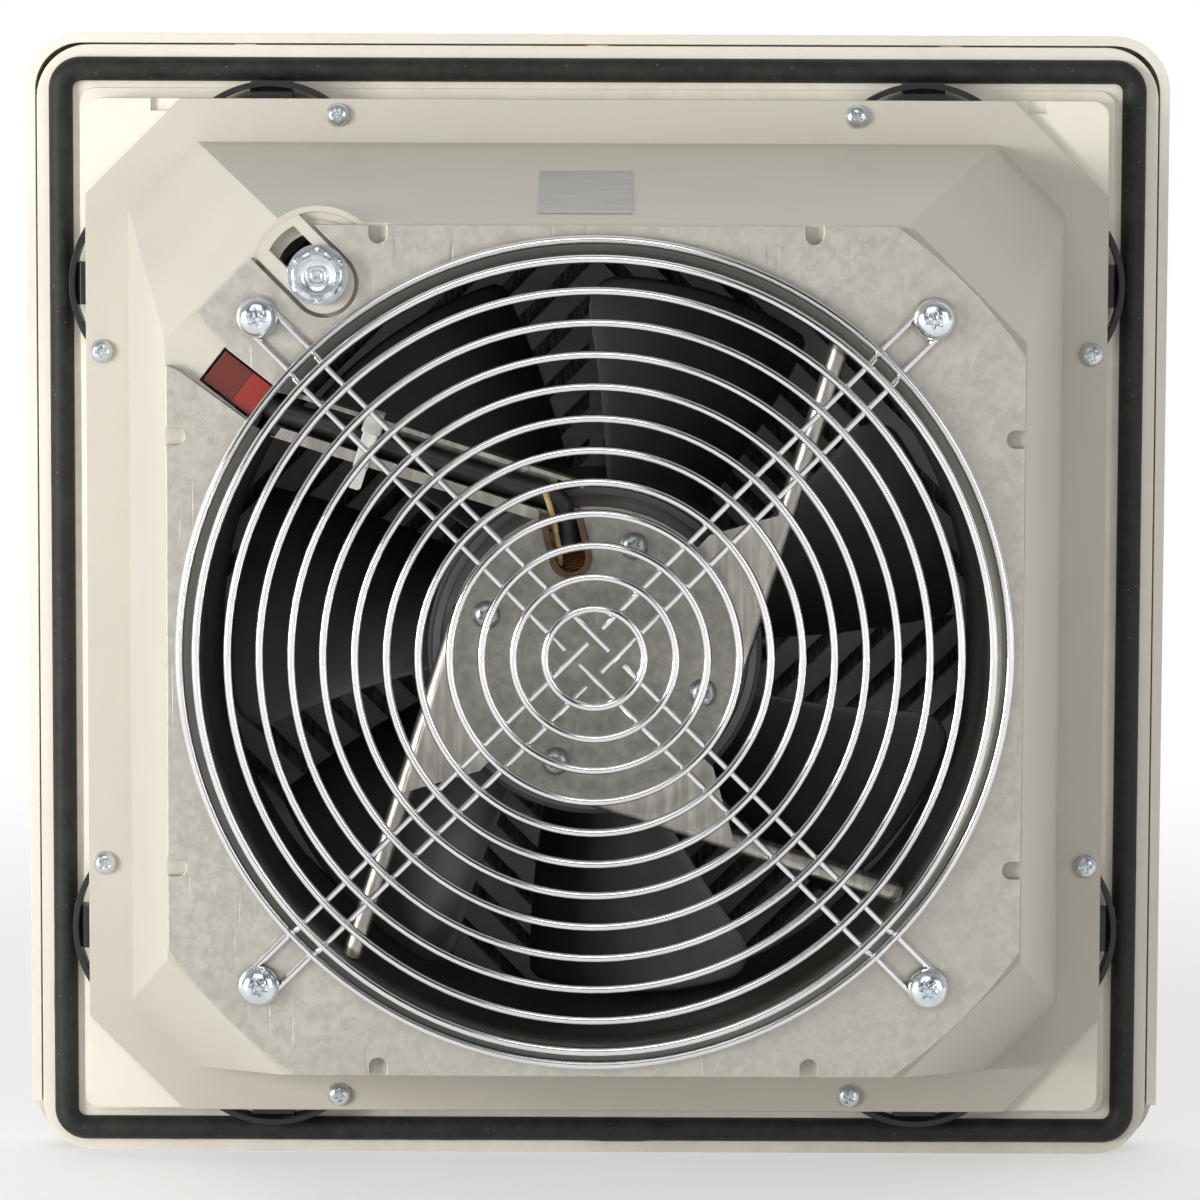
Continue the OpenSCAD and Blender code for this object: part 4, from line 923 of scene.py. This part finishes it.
class FAN_OT_screws(bpy.types.Operator):
    """Turn the screws, the earth bolt and their plating"""

    bl_idname = "filter_fan.screws"
    bl_label = "Screws"

    def execute(self, context):
        sizes, colours = context.scene.fan_sizes, context.scene.fan_colours
        turns = random.Random(3)
        zinc = zinc_plate("screw_zinc_finish", colours.zinc)
        bright = zinc_plate("guard_screw_finish", shade(colours.zinc, 1.18), 0.20, 0.2)
        dull = zinc_plate("motor_screw_finish", shade(colours.zinc, 0.62), 0.36, 0.6)
        star_r, cross_r = sizes.star_reach / MM, sizes.cross_reach / MM

        def screw_set(name, node, finish, places, *form):
            shape = Shape()
            for x, z in places:
                pan_screw(shape, x, z, turns.uniform(0, 3), *form)
            new_piece(name, "frame", finish, shape, [node], 32)

        a, b = 73, 139.7
        screw_set("hood_screw_set", "shroud_screws", zinc,
                  ((a, b), (-a, b), (a, -b), (-a, -b), (b, a), (b, -a), (-b, a), (-b, -a)),
                  -14.7, 3.4, 2.4, cross, cross_r, 1.5, -3, 1.0, 0.8)
        c = 88.388
        screw_set("guard_screw_set", "guard_screws", bright, ((-c, -c), (-c, c), (c, -c), (c, c)),
                  -130.7, 5.4, 3.4, star, star_r, 2.5, -118, 1.7)
        first, disc_r = 70.3, 30.3
        spots = [math.radians(first + 90 * k) for k in range(4)]
        screw_set("disc_screw_set", "motor_screws", dull, [(disc_r * math.cos(a), disc_r * math.sin(a)) for a in spots],
                  -128, 3.75, 2.6, star, 1.9, 1.9, -119.2, 1.2, 0.8)
        self.earth(zinc_plate("earth_bolt_finish", shade(colours.zinc, 1.12), 0.24, 0.35))
        paint(("earth_washer", "earth_nut", "guard_nuts"), zinc)
        return {"FINISHED"}

    def earth(self, plating):
        """Hex head with chamfered corners and a dish of fine rings, on a threaded shank."""
        x0, z0, seat, top, tip, flat = -72.596, 99.405, -129.6, -134.9, -112, 6.5

        def hexagon(a, cut):
            return min(flat / math.cos((a + math.pi / 6) % (math.pi / 3) - math.pi / 6), cut)

        def chamfer(a):
            return hexagon(a, 6.55), top + 0.22 + 0.5 * max(0, hexagon(a, 7.5) - flat)

        dish = ((0.15, 1.15), (1.0, 1.1), (1.15, 0.92), (1.5, 0.92), (1.7, 1.05), (2.2, 1.02), (2.35, 0.84),
                (2.75, 0.84), (2.95, 0.98), (3.5, 0.9), (4.1, 0.62), (4.6, 0.18), (4.8, 0.02), (5.0, 0), (6.1, 0.02))
        ridges = [(4 - (0.4 if k % 2 else 0), seat + 0.6 + 0.625 * k) for k in range(26)]
        profiles = [lambda a, r=r, deep=deep: (r, top + deep) for r, deep in dish] + [chamfer]
        profiles += [lambda a, y=y, cut=cut: (hexagon(a, cut), y)
                     for y, cut in ((top + 0.9, 7.35), (seat - 0.5, 7.5), (seat - 0.12, 7.4))]
        profiles += [lambda a, end=end: end for end in [(6.3, seat), (4, seat), *ridges, (2.9, tip)]]
        shape = Shape()
        shape.rings([ring_about(x0, z0, 144, profile) for profile in profiles])
        new_piece("earth_bolt_turned", "frame", plating, shape, ["earth_bolt"], 28)


class FAN_OT_tie(bpy.types.Operator):
    """Loop the cable tie round the arm"""

    bl_idname = "filter_fan.tie"
    bl_label = "Cable tie"

    def execute(self, context):
        sizes, colours = context.scene.fan_sizes, context.scene.fan_colours
        arm, at, low, high, back, floor, wide = 72.6 + 90, 71.5, 28.85, 41.95, -127.05, -114.95, 4.0
        corner, thick, rib = 1.1, 1.15, sizes.tie_rib / MM
        cos, sin = math.cos(math.radians(arm)), math.sin(math.radians(arm))

        def place(along, side, y):
            """A point of the arm's own frame in the row frame: along the arm, across it and in depth."""
            x, z = at + along, -side
            return x * cos - z * sin, y, x * sin + z * cos

        outline = []
        for cy, cn, start in ((floor - corner, high - corner, 0), (back + corner, high - corner, 90),
                              (back + corner, low + corner, 180), (floor - corner, low + corner, 270)):
            for k in range(9):
                a = math.radians(start + 90 * k / 8)
                outline.append((cy, cn, math.cos(a), math.sin(a)))
        rings, loop = [], []
        for i, (cy, cn, uy, un) in enumerate(outline):
            ny, nn, vy, vn = outline[(i + 1) % len(outline)]
            p, q = (cy + corner * uy, cn + corner * un), (ny + corner * vy, nn + corner * vn)
            teeth = max(1, int(math.dist(p, q) / rib))
            for k in range(teeth):
                t = k / teeth
                loop.append(((p[0] + (q[0] - p[0]) * t, p[1] + (q[1] - p[1]) * t), (uy, un)))
        for i, ((y, n), (uy, un)) in enumerate(loop):
            outer = thick - (0.16 if i % 2 else 0.0)
            cross_section = [(0.0, 0.25), (0.0, wide - 0.25), (0.2, wide), (thick * 0.8, wide), (thick, wide - 0.3),
                             (thick, wide - 0.9), (outer, wide - 1.1), (outer, 1.1), (thick, 0.9), (thick, 0.3),
                             (thick * 0.8, 0), (0.2, 0)]
            rings.append([place(t, n + un * d, y + uy * d) for d, t in cross_section])
        shape = Shape()
        shape.rings(rings, closed=True)
        head_y0, head_y1, n0, n1 = -131.2, -127.6, 37.6, 42.4
        block = []
        for y, inset in ((head_y1, 0), (head_y1 - 0.2, 0), (head_y0 + 0.6, 0), (head_y0 + 0.15, 0.25), (head_y0, 0.7)):
            t0, t1, t2, t3 = -0.6 + inset, -0.1 + inset, 4.1 - inset, 4.6 - inset
            block.append([place(t, n, y) for t, n in (
                (t0, n0 + 0.5), (t1, n0 + inset), (t2, n0 + inset), (t3, n0 + 0.5),
                (t3, n1 - 0.5), (t2, n1 - inset), (t1, n1 - inset), (t0, n1 - 0.5))])
        shape.rings(block)
        tail = []
        for n, inset, lift in ((29.2, 0.2, 0), (27.5, 0.2, 0.1), (25, 0.2, 0.5), (23, 0.25, 1.1), (22.2, 0.9, 1.4)):
            tail.append([place(t, n, y + lift) for t, y in (
                (inset, -127.7), (wide - inset, -127.7), (wide - inset, -126.6), (inset, -126.6))])
        shape.rings(tail)
        new_piece("tie_loop_and_head", "frame", nylon(colours), shape, ["cable_tie"], 35)
        return {"FINISHED"}


class FAN_OT_plastics(bpy.types.Operator):
    """Finish the moulded plastic parts"""

    bl_idname = "filter_fan.plastics"
    bl_label = "Plastic finishes"

    def execute(self, context):
        c, grain = context.scene.fan_colours, context.scene.fan_sizes.grain
        paint(("front_cover",), moulded("cover_plastic_finish", c.cover, grain, 0.48))
        paint(("base_frame",), moulded("frame_plastic_finish", c.frame, grain, 0.46))
        paint(("fan_shroud",), moulded("hood_plastic_finish", c.hood, grain * 0.9, 0.42, 0.2))
        paint(("support_grid",), grid_plastic(c))
        paint(tuple(n for n in frame["nodes"] if n.startswith("clip_")),
              black_plastic("clip_plastic_finish", c.clip, 0.34, 0.3))
        paint(("connector_block",), plug_plastic(c))
        paint(("cable_grommet",), soft_rubber("grommet_rubber_finish", c.grommet))
        return {"FINISHED"}


class FAN_OT_metals(bpy.types.Operator):
    """Finish the casting, the motor and the label"""

    bl_idname = "filter_fan.metals"
    bl_label = "Metal finishes"

    def execute(self, context):
        c = context.scene.fan_colours
        paint(("fan_housing",), cast_aluminium(c))
        paint(("stator_base",),
              bright_metal("base_aluminium_finish", shade(c.disc, 1.1), 0.4, grain=0.002, depth=0.00004))
        paint(("bearing_rear", "bearing_front"), bright_metal("bearing_steel_finish", (0.62, 0.62, 0.63), 0.2))
        paint(("rotor_shaft",), bright_metal("shaft_steel_finish", (0.66, 0.66, 0.67), 0.18, (1, 8, 1)))
        paint(("shaft_circlip",), bright_metal("circlip_steel_finish", (0.10, 0.10, 0.11), 0.35))
        paint(("stator_core", "rotor_core"), laminated_steel())
        paint(("stator_windings",), wound_enamel())
        paint(("rotor_cup",), bright_metal("cup_steel_finish", (0.16, 0.16, 0.17), 0.42, (1, 6, 1), 0.003, 0.00003))
        paint(("impeller_rivets",), bright_metal("rivet_steel_finish", (0.60, 0.60, 0.60), 0.3))
        paint(("rating_label",), label_foil(c))
        return {"FINISHED"}


OPERATORS = (FAN_OT_studio, FAN_OT_cable, FAN_OT_seal, FAN_OT_mat, FAN_OT_impeller, FAN_OT_guard, FAN_OT_screws,
             FAN_OT_tie, FAN_OT_plastics, FAN_OT_metals)


class FAN_PT_panel(bpy.types.Panel):
    """Sizes, colours and steps of the filter fan"""

    bl_idname = "FAN_PT_panel"
    bl_label = "Filter Fan"
    bl_space_type = "VIEW_3D"
    bl_region_type = "UI"
    bl_category = "Filter Fan"

    def draw(self, context):
        for group in (context.scene.fan_sizes, context.scene.fan_colours, context.scene.fan_studio):
            box = self.layout.box()
            for name in group.__annotations__:
                box.prop(group, name)
        for operator in OPERATORS:
            self.layout.operator(operator.bl_idname)


CLASSES = (FanSizes, FanColours, FanStudio, *OPERATORS, FAN_PT_panel)


def register():
    for item in CLASSES:
        bpy.utils.register_class(item)
    bpy.types.Scene.fan_sizes = PointerProperty(type=FanSizes)
    bpy.types.Scene.fan_colours = PointerProperty(type=FanColours)
    bpy.types.Scene.fan_studio = PointerProperty(type=FanStudio)


def unregister():
    del bpy.types.Scene.fan_studio
    del bpy.types.Scene.fan_colours
    del bpy.types.Scene.fan_sizes
    for item in reversed(CLASSES):
        bpy.utils.unregister_class(item)


def main():
    register()
    for step in ("studio", "cable", "seal", "mat", "impeller", "guard", "screws", "tie", "plastics", "metals"):
        getattr(bpy.ops.filter_fan, step)()


if __name__ == "__main__":
    main()
